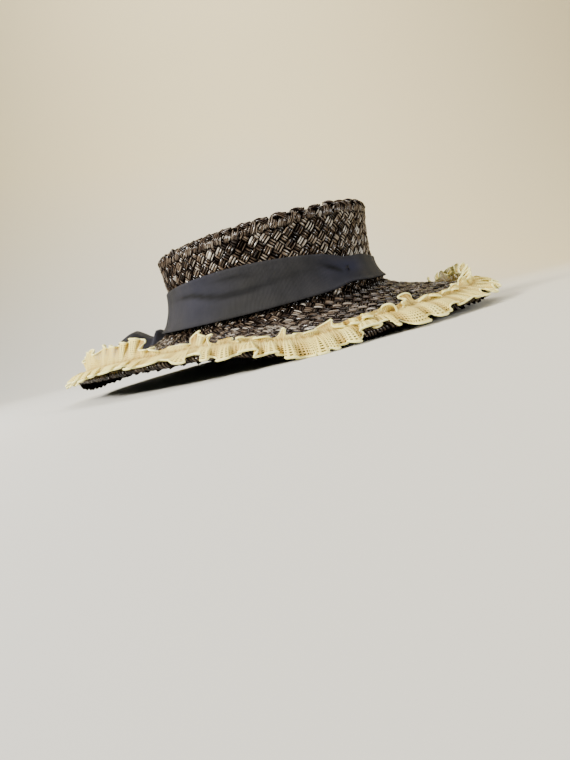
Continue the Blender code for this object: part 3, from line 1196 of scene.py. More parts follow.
@dataclass
class ClothGrid:
    """A sheet of cloth as a grid, with its flat size as its own coordinates."""

    name: str
    columns: int
    rows: int
    length: float
    width: float
    closed: bool = False

    def build(
        self,
        place: Callable[[np.ndarray, np.ndarray], np.ndarray],
        material: bpy.types.Material,
        wall: float = 0.0,
        values: dict[str, Callable[[np.ndarray, np.ndarray], np.ndarray]] | None = None,
    ) -> bpy.types.Object:
        """Make the cloth.

        Args:
            place: Points for shares along and across, each from 0 to 1.
            material: Its finish.
            wall: Its thickness, kept inside the face.
            values: Numbers to store on its vertices, by name.

        Returns:
            The object.
        """
        edit = bmesh.new()
        flat = edit.loops.layers.uv.new("UVMap")
        bmesh.ops.create_grid(edit, x_segments=self.columns, y_segments=self.rows, size=0.5)
        for face in edit.faces:
            for loop in face.loops:
                spot = loop.vert.co
                loop[flat].uv = ((spot.x + 0.5) * self.length, (spot.y + 0.5) * self.width)
        shares = np.array([vertex.co for vertex in edit.verts])[:, :2] + 0.5
        points = place(shares[:, 0], shares[:, 1])
        layers = {key: edit.verts.layers.float.new(key) for key in values or {}}
        numbers = {key: maker(shares[:, 0], shares[:, 1]) for key, maker in (values or {}).items()}
        for index, vertex in enumerate(edit.verts):
            vertex.co = points[index]
            for key, layer in layers.items():
                vertex[layer] = float(numbers[key][index])
        if self.closed:
            bmesh.ops.remove_doubles(edit, verts=edit.verts, dist=WELD)
        bmesh.ops.recalc_face_normals(edit, faces=edit.faces)
        mesh = bpy.data.meshes.new(self.name)
        edit.to_mesh(mesh)
        edit.free()
        made = add_piece(self.name, mesh, material)
        if wall:
            solid = made.modifiers.new("wall", "SOLIDIFY")
            solid.thickness = wall
            solid.offset = 0.0
        return made


@dataclass
class Band:
    """The ribbon round the crown, with a soft lengthwise fold and a stitched pinch near the front."""

    columns: int = 900
    rows: int = 16
    wall: float = 0.0006
    out: float = 0.0012
    pinch_at: float = 313.5
    pinch_spread: float = 9.0
    pinch_narrowing: float = 0.0022
    degree_length: float = 1.45
    crease_slope: float = 0.44
    crease_drop: float = 0.003
    picot: float = 0.00022
    fold: Curve = Curve(
        (
            (205, 0.72), (230, 0.67), (241, 0.55), (251, 0.47), (260, 0.46), (272, 0.51), (290, 0.62),
            (330, 0.66),
        ),
        FULL_TURN,
    )
    thread_radius: float = 0.00028
    stitches: tuple[tuple[float, float, float, float], ...] = (
        # degrees from the pinch and shares of the width at each stitch's two ends
        (-1.2, 1.6, 0.50, 0.62),
        (-0.4, 1.9, 0.62, 0.44),
        (0.6, 1.1, 0.40, 0.64),
    )
    second_fold: Curve = Curve(((240, 0.83), (249, 0.81), (257, 0.80), (265, 0.77), (275, 0.74)))
    fold_depth: Curve = Curve(
        ((180, 0.1), (212, 0.3), (226, 0.9), (240, 1.3), (256, 1.1), (270, 0.6), (285, 0.2), (350, 0.1)),
        FULL_TURN,
    )

    def edges(self, degrees: np.ndarray) -> tuple[np.ndarray, np.ndarray]:
        """Heights of the lower and upper edge."""
        pinch = self.pinch_narrowing * hump((degrees - self.pinch_at) / self.pinch_spread)
        return HAT.swing(HAT.band_bottom, degrees) + pinch, HAT.swing(HAT.band_top, degrees) - pinch

    def from_pinch(self, degrees: np.ndarray) -> np.ndarray:
        """Metres round the ribbon from its pinch."""
        return (degrees - self.pinch_at) * self.degree_length * MM

    def off_crease(self, turned: np.ndarray, level: np.ndarray) -> np.ndarray:
        """Metres off the slanting crease that runs back from the pinch."""
        return level + self.crease_slope * turned + self.crease_drop

    def place(self, along: np.ndarray, across: np.ndarray) -> np.ndarray:
        """Points of the ribbon's middle.

        Args:
            along: Shares of the way round, from 0 to 1.
            across: Shares of the width, from 0 to 1.

        Returns:
            The points.
        """
        degrees = FULL_TURN * along
        low, high = self.edges(degrees)
        column = np.rint(along * self.columns)
        edge_row = np.clip(1.0 - across * self.rows, 0.0, 1.0)
        low = low - self.picot * edge_row * (column % 2.0)
        height = low + across * (high - low)
        depth = MM * self.fold_depth(degrees)
        valley = hump((across - self.fold(degrees)) / 0.10)
        shoulder = hump((across - self.fold(degrees) + 0.22) / 0.16)
        out = self.out + HAT.band_flare * (1.0 - across) ** 2
        out = out + depth * (0.75 * shoulder - 0.60 * valley) + 0.0004
        turned = self.from_pinch(degrees)
        level = (across - 0.50) * (high - low)
        near = hump(turned / 0.0045, level / 0.0030)
        puff = hump(turned / 0.013) * np.cos(level / 0.0030)
        crease = hump((turned + 0.016) / 0.009, self.off_crease(turned, level) / 0.0018)
        out = out - 0.0010 * near - 0.0009 * crease + 0.0005 * puff
        ripple = 0.00016 * np.sin(math.radians(1.0) * degrees * 37.0 + 3.0 * across)
        return HAT.band(degrees, height, np.maximum(out + ripple, 0.00095))

    def painted_ribbon_shade(self, along: np.ndarray, across: np.ndarray) -> np.ndarray:
        """How much shade is painted into the cloth's soft folds, about the pinch and over its middle, from
        0 to 1.

        Args:
            along: Shares of the way round, from 0 to 1.
            across: Shares of the width, from 0 to 1.

        Returns:
            The painted shade.
        """
        degrees = FULL_TURN * along
        strength = 1.1 * np.clip(self.fold_depth(degrees), 0.0, 1.0)
        first = hump((across - self.fold(degrees)) / 0.055)
        second = 0.7 * hump((across - self.second_fold(degrees)) / 0.05) * hump((degrees - 257.0) / 11.0)
        # a broad painted shade over the band round 262 degrees
        second = second + 0.22 * hump((degrees - 262.0) / 30.0, power=4)
        low, high = self.edges(degrees)
        turned = self.from_pinch(degrees)
        level = (across - 0.50) * (high - low)
        near = hump(turned / 0.0032, (level + 0.002) / 0.0022)
        crease = hump((turned + 0.014) / 0.010, self.off_crease(turned, level) / 0.0019)
        crease = crease * np.clip(1.7 + (turned + 0.006) / 0.012, 0.6, 1.7)
        crease = crease * np.clip((-0.003 - turned) / 0.003, 0.0, 1.0)
        return np.clip(strength * first + second + 0.4 * near + crease, 0.0, 1.0)

    def blued(self, along: np.ndarray, across: np.ndarray) -> np.ndarray:
        """How much bluer the cloth is made about the pinch, from 0 to 1."""
        turned = self.from_pinch(FULL_TURN * along)
        return 0.9 * hump((turned - 0.004) / 0.016, (across - 0.62) / 0.30)

    def build(self, ribbon: bpy.types.Material) -> None:
        """Build the band and its stitch.

        Args:
            ribbon: The ribbon's finish.
        """
        grid = ClothGrid("ribbon_band", self.columns, self.rows, 0.545, 0.031, closed=True)
        band = grid.build(self.place, ribbon, self.wall, {"shade": self.painted_ribbon_shade, "blued": self.blued})
        belong(band, Slot.RIBBON, "hat_band")
        self.build_stitch(ribbon)

    def build_stitch(self, ribbon: bpy.types.Material) -> None:
        """The thread that holds the pinch.

        Args:
            ribbon: The ribbon's finish.
        """
        for number, (begin, end, low, high) in enumerate(self.stitches):
            t = np.linspace(0.0, 1.0, 9)
            degrees = self.pinch_at + begin + (end - begin) * t
            bottom, top = self.edges(degrees)
            height = bottom + (low + (high - low) * t) * (top - bottom)
            out = self.out + 0.0008 + 0.0006 * np.sin(math.pi * t)
            middle = HAT.band(degrees, height, out)
            thread = thread_tube(f"pinch_stitch_{number + 1}", middle, self.thread_radius, ribbon)
            belong(thread, Slot.RIBBON)


def thread_tube(
    name: str, path: np.ndarray, radius: float, material: bpy.types.Material
) -> bpy.types.Object:
    """A thin closed tube along a path.

    Args:
        name: The piece's name.
        path: Its points.
        radius: Its radius.
        material: Its finish.

    Returns:
        The object.
    """
    line = bpy.data.curves.new(name, "CURVE")
    line.dimensions = "3D"
    line.bevel_depth = radius
    line.bevel_resolution = 2
    line.use_fill_caps = True
    spline = line.splines.new("POLY")
    spline.points.add(len(path) - 1)
    for point, spot in zip(spline.points, path):
        point.co = (*spot, 1.0)
    holder = bpy.data.objects.new(name + "_line", line)
    mesh = bpy.data.meshes.new_from_object(holder)
    mesh.name = name
    bpy.data.objects.remove(holder)
    edit = bmesh.new()
    edit.from_mesh(mesh)
    bmesh.ops.remove_doubles(edit, verts=edit.verts, dist=WELD)
    bmesh.ops.recalc_face_normals(edit, faces=edit.faces)
    edit.to_mesh(mesh)
    edit.free()
    mesh.materials.clear()
    return add_piece(name, mesh, material)


@dataclass
class Bow:
    """The flat bow at the back: a wrapped knot, two folded loops and two free ends."""

    at: float = 150.0
    height: float = 0.0530
    knot: tuple[float, float, float] = (0.0090, 0.0150, 0.0200)
    loop_reach: float = 24.0
    loop_clearance: float = 1.9
    loop_half_width: float = 0.0120
    loop_depth: float = 0.0042
    loop_neck: float = 0.62
    wall: float = 0.0005
    roundness: float = 0.55
    low_rise: float = 1.6
    back_tail: tuple[tuple[float, float, float, float], ...] = (
        (1.5, 153.2, 8.8, 4.4), (5.0, 157.0, 6.5, 6.5), (9.0, 161.0, 5.0, 8.0), (14.0, 165.0, 10.0, 9.5),
        (18.5, 168.0, 16.5, 10.5), (22.0, 169.5, 11.5, 11.0), (26.0, 171.0, 14.0, 11.5),
        (31.0, 172.5, 19.5, 12.0), (38.0, 174.0, 25.0, 12.5), (44.0, 175.0, 24.0, 12.5),
        (50.0, 176.0, 21.5, 12.5),
    )
    left_tail: tuple[tuple[float, float, float, float], ...] = (
        (1.5, 146.8, 8.95, 4.4), (5.0, 143.0, 5.5, 6.5), (9.0, 140.0, 3.8, 8.0), (16.0, 136.0, 3.2, 9.5),
        (26.0, 131.0, 3.4, 11.5), (36.0, 127.0, 2.8, 12.0), (45.0, 124.0, 2.4, 12.5),
    )

    def band_out(self, degrees: np.ndarray, height: np.ndarray, out: np.ndarray) -> np.ndarray:
        """Points out from the band's own face."""
        return HAT.band(degrees, height, HAT.ribbon_wall + HAT.band_gap + HAT.band_flare + out)

    def knot_place(self, along: np.ndarray, across: np.ndarray) -> np.ndarray:
        """Points of the ribbon wrapped over the knot: along runs round it, across is its width.

        Args:
            along: Shares of the way round, from 0 to 1.
            across: Shares of the width, from 0 to 1.

        Returns:
            The points.
        """
        depth, width, tall = self.knot
        turn = math.tau * along
        up = np.sign(np.sin(turn)) * np.abs(np.sin(turn)) ** self.roundness * tall / 2.0
        reach = 0.5 - 0.5 * np.sign(np.cos(turn)) * np.abs(np.cos(turn)) ** self.roundness
        side = 2.0 * across - 1.0
        pleats = 0.00055 * np.cos(math.tau * 2.5 * side) * np.sin(math.pi * reach) ** 0.5
        crown = 1.0 - 0.30 * side**4
        out = HAT.seam_gap + 0.0005 + (depth * 0.86 * crown) * reach + pleats * reach
        waist = 1.0 - 0.12 * reach
        degrees = self.at + np.degrees(side * waist * width * 0.48 / HAT.root_half_length)
        return self.band_out(degrees, self.height + up * (1.0 - 0.06 * side**2), out)

    def loop_place(self, way: int) -> Callable[[np.ndarray, np.ndarray], np.ndarray]:
        """The place function of one loop, which runs out from the knot and back.

        Args:
            way: 1 for the loop nearer the back, -1 for the one nearer the wearer's left.

        Returns:
            The place function.
        """
        knot_turn = math.degrees(self.knot[1] / 2.0 / HAT.root_half_length)
        start = knot_turn + self.loop_clearance - 1.2

        def place(along: np.ndarray, across: np.ndarray) -> np.ndarray:
            """Points of the loop.

            Args:
                along: Shares of its length, out along one face and back along the other.
                across: Shares of its width.

            Returns:
                The points.
            """
            turn = math.tau * along
            reach = (1.0 - np.cos(turn)) / 2.0
            degrees = self.at + way * (start + (self.loop_reach - start) * reach)
            side = 2.0 * across - 1.0
            gather = 0.0007 * (1.0 - reach) * np.cos(math.tau * 2.0 * side)
            sag = 0.0005 * np.sin(3.0 * math.pi * reach + 2.0 * side)
            out = HAT.seam_gap + HAT.ribbon_wall + self.loop_depth / 2.0 * (1.0 - way * np.sin(turn))
            half_width = self.loop_half_width * (self.loop_neck + (1.0 - self.loop_neck) * reach**0.7)
            return self.band_out(degrees, self.height + half_width * side, out + gather + sag + 0.0004)

        return place

    def tail_place(
        self, stations: Sequence[tuple[float, float, float, float]], tilt: float
    ) -> Callable[[np.ndarray, np.ndarray], np.ndarray]:
        """The place function of one free end, which lies out over the brim.

        Args:
            stations: Distance out, direction, rise off the brim and half width, from the knot to the tip.
            tilt: How much of the rise the side nearer the wearer's right gives up.

        Returns:
            The place function.
        """
        curves = [
            Curve(tuple((float(at), row[key]) for at, row in enumerate(stations))) for key in range(4)
        ]
        last = len(stations) - 1

        def place(along: np.ndarray, across: np.ndarray) -> np.ndarray:
            """Points of the free end.

            Args:
                along: Shares of its length, from the knot.
                across: Shares of its width.

            Returns:
                The points.
            """
            side = 2.0 * across - 1.0
            spot = np.clip(along + 0.05 * side * along**6, 0.0, 1.0) * last
            out, degrees, rise, half_width = (curve(spot) for curve in curves)
            half_length = HAT.root_half_length + MM * out
            turned = np.degrees(MM * half_width * side / half_length)
            pleat = 0.6 * (1.0 - along) ** 2 * np.cos(math.tau * 1.5 * side)
            roll = 0.45 * np.sin(math.tau * (0.8 * along + 0.3 * side)) + 0.5 * side**2 * along
            given = 1.0 - tilt * np.clip(0.15 + 0.85 * side, 0.0, 1.0) ** 1.2
            rise = self.low_rise + (rise - self.low_rise) * given
            points = HAT.brim(degrees + turned, half_length)
            points[..., 2] += MM * (rise + pleat + np.maximum(roll, -0.4))
            return points

        return place

    def build(self, ribbon: bpy.types.Material) -> None:
        """Build the five pieces.

        Args:
            ribbon: The ribbon's finish.
        """
        grid = ClothGrid("bow_wrap", 40, 14, 0.052, 0.014, closed=True)
        knot = grid.build(self.knot_place, ribbon, self.wall)
        belong(knot, Slot.RIBBON, "bow_knot")
        for side, way in (("back", 1), ("left", -1)):
            grid = ClothGrid(f"bow_ribbon_{side}", 60, 12, 0.066, 0.024, closed=True)
            loop = grid.build(self.loop_place(way), ribbon, self.wall)
            belong(loop, Slot.RIBBON, f"bow_loop_{side}")
        for side, stations, length, tilt in (
            ("back", self.back_tail, 0.068, 0.9),
            ("left", self.left_tail, 0.046, 0.0),
        ):
            grid = ClothGrid(f"bow_end_{side}", 60, 14, length, 0.025)
            tail = grid.build(self.tail_place(stations, tilt), ribbon, self.wall)
            belong(tail, Slot.RIBBON, f"bow_tail_{side}")


@dataclass
class Ruffle:
    """The net ribbon gathered along its middle and sewn round the brim close to its edge."""

    columns: int = 2200
    rows: int = 16
    wave_kinds: tuple[tuple[int, int], ...] = ((74, 6), (72, 8), (150, 4))
    harmonics: tuple[int, ...] = (3, 7, 13, 22, 31)
    rail_at: tuple[float, ...] = (0.0, 0.20, 0.50, 0.74, 1.0)
    even_over: tuple[float, ...] = (-1.8, -0.9, 0.0, 0.9, 1.8)
    reach: tuple[float, ...] = (175.9, 170.6, 161.5, 156.5, 152.0)
    seat: float = 0.0026
    bend_rise: float = 0.0010
    bend_share: float = 0.35
    wall: float = 0.0003
    hem_radius: float = 0.00072
    flat_width: float = 0.030
    flat_length: float = 1.30
    flop: float = 0.0150
    curl: float = 0.75
    under_depth: float = 0.0028
    wave_depth: float = 0.0030
    rolled_from: float = 0.44
    back_spread: Curve = Curve(((120, 0.0), (165, 3.0), (190, 4.0), (212, 2.0), (235, 0.0)), FULL_TURN)
    lower: Curve = Curve(
        (
            (20, 3.6), (72, 2.4), (120, 2.4), (160, 5.0), (182, 7.0), (203, 3.5), (218, 4.0), (230, 5.4),
            (248, 6.0), (257, 2.4), (272, 1.2), (282, 0.8), (300, 0.7), (310, 1.4), (324, 3.6), (344, 4.0),
        ),
        FULL_TURN,
    )
    upper: Curve = Curve(
        (
            (8, 9.5), (30, 5.0), (60, 2.8), (120, 4.5), (165, 10.5), (200, 12.0), (219, 12.0), (235, 10.0),
            (245, 4.5), (260, 2.8), (277, 2.6), (293, 4.5), (310, 3.5), (330, 3.0), (340, 4.5), (352, 9.5),
        ),
        FULL_TURN,
    )
    spread_shares: tuple[float, ...] = (0.6, 1.3, 1.0, 1.0, 1.0)
    upper_seen: Rows = (
        # how far the upper edge's waves rise above its even line, in millimetres, where they show
        (220.0, 2.1), (223.1, -0.5), (226.7, -0.3), (231.5, 1.4), (234.9, 2.6), (236.6, 1.5),
        (238.7, -4.3), (240.9, -2.4), (244.2, -3.6), (249.9, -1.8), (251.6, -1.6), (253.4, 4.5),
        (255.2, 0.8), (256.2, 1.7), (257.3, -0.4), (258.7, -8.2), (259.8, -2.3), (261.3, -2.0),
        (262.4, -3.8), (263.1, -8.0), (263.9, -1.7), (265.2, -1.4), (267.4, -3.2), (269.7, -2.1),
        (271.8, -3.6), (273.8, 1.2), (274.8, -3.2), (276.5, -1.2), (278.0, -3.8), (279.7, -2.2),
        (282.4, -1.3), (284.3, -0.3), (285.6, -5.6), (288.1, -6.7), (289.7, -7.2), (291.8, -5.7),
        (294.8, -5.6), (298.1, -2.5), (299.8, -8.3), (302.6, -3.6), (305.6, 2.0), (307.2, -6.7),
        (308.9, -2.5), (314.0, -5.6), (318.9, -3.0), (321.1, -4.6), (326.0, -0.8),
    )
    lower_seen: Rows = (
        # the same for the lower edge
        (222.1, -0.8), (225.7, 0.3), (229.6, -0.3), (234.6, 0.3), (237.7, 1.0), (240.8, -1.2),
        (245.1, -1.0), (247.9, 0.3), (249.7, -0.9), (250.9, 0.4), (252.4, -2.3), (253.5, 1.4),
        (256.4, 3.4), (257.5, -0.8), (258.8, 1.0), (260.3, -1.3), (263.9, 1.2), (266.3, 3.7),
        (267.8, 0.0), (270.7, 2.3), (273.3, -0.7), (275.0, -1.5), (277.7, -1.9), (279.4, 0.6),
        (280.3, -1.5), (281.1, 0.9), (282.2, -0.6), (283.2, 1.4), (284.3, 0.3), (285.4, 1.4),
        (286.9, -0.6), (288.2, 0.2), (289.0, 2.6), (290.9, 6.0), (292.5, 3.4), (294.5, 6.0),
        (296.0, 1.2), (297.3, 3.9), (299.3, -0.7), (302.1, -1.9), (304.8, 1.2), (306.7, -1.4),
        (309.7, -1.0), (312.2, 3.2), (315.9, 0.1), (319.3, 2.2), (322.6, -0.3), (327.9, -0.6),
    )

    def __post_init__(self) -> None:
        """Close both edge lines round the hat."""
        self.upper_line = self.close_round(self.upper_seen, 4.3, (0.6, 1.2), (-5.4, 1.6), 9)
        self.lower_line = self.close_round(self.lower_seen, 3.6, (2.4, 1.2), (-0.9, 0.6), 12)

    def close_round(
        self,
        seen: Rows,
        pitch: float,
        crest: tuple[float, float],
        trough: tuple[float, float],
        seed: int,
    ) -> Curve:
        """Carry a measured line of waves on round the rest of the hat.

        Args:
            seen: Directions and heights of the measured part.
            pitch: Degrees from crest to crest elsewhere.
            crest: Mean height of a crest and its spread.
            trough: Mean height of a trough and its spread.
            seed: Seed of the unevenness.

        Returns:
            The closed line.
        """
        chance = np.random.default_rng(seed)
        rows = list(seen)
        at, high = seen[-1][0], seen[-1][1] < crest[0] - 1.0
        while at < seen[0][0] + FULL_TURN - 0.75 * pitch:
            at += 0.5 * pitch * (0.70 + 0.60 * chance.random())
            mean, spread = crest if high else trough
            rows.append((at, mean + spread * (2.0 * chance.random() - 1.0)))
            high = not high
        return Curve(tuple(sorted((place % FULL_TURN, height) for place, height in rows)), FULL_TURN)

    def phase(self, degrees: np.ndarray, waves: int, seed: int) -> np.ndarray:
        """The phase of waves of uneven length, closed round the hat.

        Args:
            degrees: Directions round the hat.
            waves: How many waves go round it.
            seed: Seed of their unevenness.

        Returns:
            The phase in radians.
        """
        chance = np.random.default_rng(seed)
        turn = np.radians(degrees)
        phase = waves * turn
        for harmonic in self.harmonics:
            phase = phase + (0.5 + 0.5 * chance.random()) * np.sin(harmonic * turn + 6.3 * chance.random())
        return phase

    def phases(self, degrees: np.ndarray) -> list[np.ndarray]:
        """Phases of the upper frill's waves, the lower frill's and the seam's fine pleats."""
        return [self.phase(degrees, waves, seed) for waves, seed in self.wave_kinds]

    def frills(self, across: np.ndarray) -> tuple[np.ndarray, np.ndarray]:
        """How far into the lower and the upper frill a place lies: 0 at the seam to 1 at the edge."""
        return np.clip((0.5 - across) / 0.5, 0.0, 1.0), np.clip((across - 0.5) / 0.5, 0.0, 1.0)

    def curled(self, line: Curve, degrees: np.ndarray, middle: float, size: float) -> np.ndarray:
        """How far a wavy edge folds over itself sideways, to either side of each crest and trough.

        Args:
            line: The edge's heights in millimetres.
            degrees: Directions round the hat.
            middle: The line's middle height.
            size: The height of its waves from the middle.

        Returns:
            The distances, in degrees round the hat.
        """
        level = (line(degrees) - middle) / size
        slope = (line(degrees + 0.12) - line(degrees - 0.12)) / (0.24 * size)
        return np.clip(-self.curl * level * slope, -1.1, 1.1)

    def rail(self, degrees: np.ndarray, row: int) -> tuple[np.ndarray, np.ndarray]:
        """One of the five rails across the ruffle, without its waves.

        Args:
            degrees: Directions round the hat.
            row: Its number, from the lower edge.

        Returns:
            Its half lengths and heights.
        """
        spread = self.spread_shares[row] * self.back_spread(degrees)
        half_length = MM * (self.reach[row] + spread)
        upper = MM * self.upper(degrees)
        height = HAT.brim(degrees, half_length)[..., 2] + self.seat
        if row == 0:
            height = MM * (HAT.edge_heights(degrees) + self.lower(degrees)) + 0.0007
        elif row == 1:
            height = height + self.bend_rise + self.bend_share * upper
        elif row >= 3:
            height = height - 0.0007 + (0.5 if row == 3 else 1.0) * upper
        return half_length, height

    def place(self, along: np.ndarray, across: np.ndarray) -> np.ndarray:
        """Points of the net.

        Args:
            along: Shares of the way round, from 0 to 1.
            across: Shares of the width, from the lower edge to the upper one.

        Returns:
            The points.
        """
        degrees = FULL_TURN * along
        rails = [self.rail(degrees, row) for row in range(5)]
        knots = np.array(self.rail_at)
        half_length = self.across_curve(knots, [rail[0] for rail in rails], across)
        height = self.across_curve(knots, [rail[1] for rail in rails], across)
        down, up = self.frills(across)
        far = hump((degrees - 70.0) / 48.0, power=4)
        back = hump((degrees - 200.0) / 26.0, power=4)
        upper = self.upper_line(degrees) * (1.0 - 0.6 * far - 0.65 * back)
        lower = self.lower_line(degrees)
        calm = 1.0 - 0.7 * far - 0.75 * back
        main, under, fine = self.phases(degrees)
        even = sum(self.upper_line(degrees + shift) for shift in self.even_over) / len(self.even_over)
        flopped = np.clip((1.5 - even) / 9.0, 0.0, 1.0) * (1.0 - 0.45 * back)
        flopped = flopped + 0.16 * back * (1.0 + 0.8 * np.sin(under))
        half_length = half_length + self.flop * flopped * up + self.relief(degrees, across)
        half_length = half_length + MM * np.clip(-1.3 * lower, -5.5, 1.8) * down**0.75
        height = height + MM * upper * up**1.5 + 0.0030 * flopped * np.sin(math.pi * up) * up**0.3
        height = height + MM * lower * down**1.7 + (0.0008 + 0.0004 * back) * np.sin(main + 1.2) * up
        sideways = self.curled(self.upper_line, degrees, -2.6, 4.5) * up**1.4 * calm
        sideways = sideways + self.curled(self.lower_line, degrees, 0.8, 2.6) * down**1.2
        sideways = sideways - 0.68 * calm * np.sin(2.0 * main) * up - 0.62 * np.sin(2.0 * under) * down
        pucker = 0.00045 * hump((across - 0.5) / 0.10) * np.sin(fine * 2.0)
        points = HAT.brim(degrees + sideways, half_length)
        ground = np.where(half_length < HAT.brim_half_length, points[..., 2] + 0.0012, 0.0006)
        points[..., 2] = np.maximum(height + pucker, ground)
        return points

    def relief(self, degrees: np.ndarray, across: np.ndarray) -> np.ndarray:
        """How far the folds of both frills stand out.

        Args:
            degrees: Directions round the hat.
            across: Shares of the width, from the lower edge to the upper one.

        Returns:
            The distances.
        """
        down, up = self.frills(across)
        main, under, fine = self.phases(degrees)
        seam = 0.0003 * np.sin(fine) * hump((across - 0.5) / 0.16)
        calm = 1.0 - 0.6 * hump((degrees - 70.0) / 48.0, power=4)
        calm = calm - 0.65 * hump((degrees - 217.0) / 17.0, power=4)
        lower = self.under_depth * (np.sin(under) + 0.35) * down**0.8
        return seam + lower + self.wave_depth * calm * np.sin(main) * up**0.9

    def folded(self, along: np.ndarray, across: np.ndarray) -> np.ndarray:
        """How much shade is painted on the net, from 0 to 1: in its inward folds and along its seam, less
        towards the far side.

        Args:
            along: Shares of the way round, from 0 to 1.
            across: Shares of the width, from 0 to 1.

        Returns:
            The painted shade.
        """
        degrees = FULL_TURN * along
        # painted shade along the gathered seam
        seam = 0.55 * hump((across - 0.5) / 0.07)
        # less painted shade towards the far side, round 50 degrees
        shaded = 1.0 - 0.9 * hump((degrees - 50.0) / 55.0, power=4)
        return np.clip(0.22 - self.relief(degrees, across) / 0.0034 + seam, 0.0, 0.85) * shaded

    def across_curve(self, knots: np.ndarray, rails: list[np.ndarray], across: np.ndarray) -> np.ndarray:
        """A smooth curve across the rails at each point.

        Args:
            knots: Shares of the width at which the rails lie.
            rails: Each rail's values at the points.
            across: The points' shares of the width.

        Returns:
            The values at the points.
        """
        table = np.array(rails)
        slope = np.diff(table, axis=0) / np.diff(knots)[:, None]
        left, right = slope[:-1], slope[1:]
        middle = (left + right) / 2.0
        slopes = np.vstack([slope[:1], middle, slope[-1:]])
        index = np.clip(np.searchsorted(knots, across, side="right") - 1, 0, len(knots) - 2)
        span = knots[index + 1] - knots[index]
        t = (across - knots[index]) / span
        each = np.arange(len(across))
        low, high = table[index, each], table[index + 1, each]
        hump = t * t * (3.0 - 2.0 * t)
        ends = t * (1.0 - t) ** 2 * span * slopes[index, each]
        ends = ends + t * t * (t - 1.0) * span * slopes[index + 1, each]
        return low + (high - low) * hump + ends

    def build_hem(self, name: str, across: float, net: bpy.types.Material) -> bpy.types.Object:
        """A rolled edge of the net.

        Args:
            name: The piece's name.
            across: Which edge of the net it closes, 0 for the lower and 1 for the upper.
            net: Its finish.

        Returns:
            The object.
        """

        def place(along: np.ndarray, round_it: np.ndarray) -> np.ndarray:
            """Points of the roll.

            Args:
                along: Shares of the way round the hat.
                round_it: Shares of the way round the roll.

            Returns:
                The points.
            """
            middle = self.place(along, np.full_like(along, across))
            nearby = self.place(along, np.full_like(along, abs(across - 0.06)))
            ahead = self.place(along + 0.0005, np.full_like(along, across))
            inward = nearby - middle
            inward /= np.linalg.norm(inward, axis=-1, keepdims=True)
            forward = ahead - middle
            square = np.cross(inward, forward)
            square /= np.linalg.norm(square, axis=-1, keepdims=True)
            turn = math.tau * round_it[:, None]
            spots = middle + self.hem_radius * (np.cos(turn) * inward + np.sin(turn) * square)
            spots[..., 2] = np.maximum(spots[..., 2], 0.0001)
            return spots

        grid = ClothGrid(name, self.columns, 6, self.flat_length, 0.004, closed=True)
        return grid.build(place, net)

    def build(self, net: bpy.types.Material, edge: bpy.types.Material) -> None:
        """Build the net and its two rolled edges.

        Args:
            net: The net's finish.
            edge: The finish of its rolled edges.
        """
        grid = ClothGrid(
            "net_ruffle", self.columns, self.rows, self.flat_length, self.flat_width, closed=True
        )

        def rolled(along: np.ndarray, across: np.ndarray) -> np.ndarray:
            """1 where the net is close at its edges, else 0."""
            return (np.abs(across - 0.5) > self.rolled_from).astype(float)

        ruffle = grid.build(self.place, net, self.wall, {"rolled": rolled, "folded": self.folded})
        hems = [
            self.build_hem("net_hem_lower", 0.0, edge),
            self.build_hem("net_hem_upper", 1.0, edge),
        ]
        belong(ruffle, Slot.NET, "brim_ruffle")
        for hem in hems:
            belong(hem, Slot.NET, "brim_ruffle")


# Studio


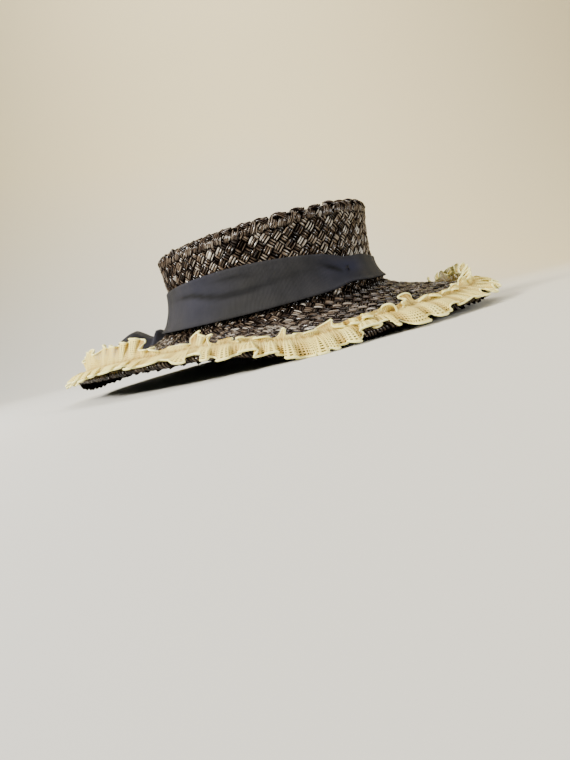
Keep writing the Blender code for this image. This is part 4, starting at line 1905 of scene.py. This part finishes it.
@dataclass
class Studio:
    """Pale seamless floor, soft lights and the camera at the photograph's angle."""

    camera_at: tuple[float, float, float] = (0.0326, -0.4934, 0.0242)
    camera_turn: tuple[float, float, float] = (84.03, 14.08, 3.09)
    frame_size: tuple[int, int] = (570, 760)
    lens_pixels: float = 571.0
    sensor: float = 36.0
    floor_half: float = 3.0
    bend_at: float = 0.7
    bend_radius: float = 0.9
    wall_stretch: float = 3.0
    surroundings: tuple[float, float, float, float] = (1.0, 0.97, 0.90, 1.0)
    surroundings_strength: float = 0.17
    lights: tuple[tuple[str, Spot, Spot, float, float, Colour], ...] = (
        # name, place, aim, side, watts, colour
        ("key", (-0.95, -0.62, 0.72), (0.0, 0.0, 0.05), 0.32, 42.0, (1.0, 0.96, 0.90)),
        ("fill", (1.1, -0.75, 0.40), (0.0, 0.0, 0.05), 0.35, 12.0, (0.97, 0.98, 1.0)),
        ("top", (0.1, 0.3, 1.3), (0.0, 0.0, 0.05), 0.9, 9.0, (1.0, 0.98, 0.95)),
        ("wall", (0.0, 0.6, 1.5), (0.0, 1.5, 0.7), 1.4, 26.0, (1.0, 0.97, 0.91)),
    )

    def build_camera(self) -> None:
        """The camera."""
        lens = bpy.data.cameras.new("photo_camera")
        lens.sensor_width = self.sensor
        lens.lens = self.lens_pixels / max(self.frame_size) * self.sensor
        lens.clip_start = 0.01
        camera = bpy.data.objects.new("photo_camera", lens)
        camera.location = self.camera_at
        camera.rotation_euler = Euler([math.radians(part) for part in self.camera_turn], "XYZ")
        bpy.context.scene.collection.objects.link(camera)
        bpy.context.scene.camera = camera

    def build_floor(self) -> None:
        """The floor, which curves up behind the hat into a wall."""
        radius = self.bend_radius
        arc = radius * math.pi / 2.0
        edit = bmesh.new()
        bmesh.ops.create_grid(edit, x_segments=8, y_segments=60, size=self.floor_half)
        for vertex in edit.verts:
            past = vertex.co.y - self.bend_at
            if past > arc:
                vertex.co.y = self.bend_at + radius
                vertex.co.z = radius + (past - arc) * self.wall_stretch
            elif past > 0.0:
                vertex.co.y = self.bend_at + radius * math.sin(past / radius)
                vertex.co.z = radius * (1.0 - math.cos(past / radius))
        mesh = bpy.data.meshes.new("floor")
        edit.to_mesh(mesh)
        edit.free()
        add_piece("floor", mesh, StudioFinish().make())

    def build_light(
        self, name: str, at: Spot, aim: Spot, size: float, power: float, colour: Colour
    ) -> None:
        """One soft square light.

        Args:
            name: Its name.
            at: Where it stands.
            aim: What it points at.
            size: Its side.
            power: Its power in watts.
            colour: Its colour.
        """
        lamp = bpy.data.lights.new(name, "AREA")
        lamp.size = size
        lamp.energy = power
        lamp.color = colour
        light = bpy.data.objects.new(name, lamp)
        light.location = at
        light.rotation_euler = (Vector(aim) - Vector(at)).to_track_quat("-Z", "Y").to_euler()
        bpy.context.scene.collection.objects.link(light)

    def build_world(self) -> None:
        """Even warm surroundings."""
        world = bpy.data.worlds.new("soft_room")
        world.use_nodes = True
        ground = world.node_tree.nodes["Background"]
        ground.inputs["Color"].default_value = self.surroundings
        ground.inputs["Strength"].default_value = self.surroundings_strength
        bpy.context.scene.world = world

    def build(self) -> None:
        """Build the whole studio."""
        self.build_camera()
        self.build_floor()
        self.build_world()
        for light in self.lights:
            self.build_light(*light)


def main() -> None:
    """Build the studio and dress the hat."""
    logging.basicConfig(level=logging.INFO, format="%(name)s: %(message)s")
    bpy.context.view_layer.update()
    Studio().build()
    straw = StrawFinish().make()
    ribbon = RibbonFinish().make()
    net = NetFinish()
    Crown().build(straw)
    Brim().build(straw)
    Band().build(ribbon)
    Bow().build(ribbon)
    Ruffle().build(net.make(), net.make(holes=False))
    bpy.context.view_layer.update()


if __name__ == "__main__":
    main()
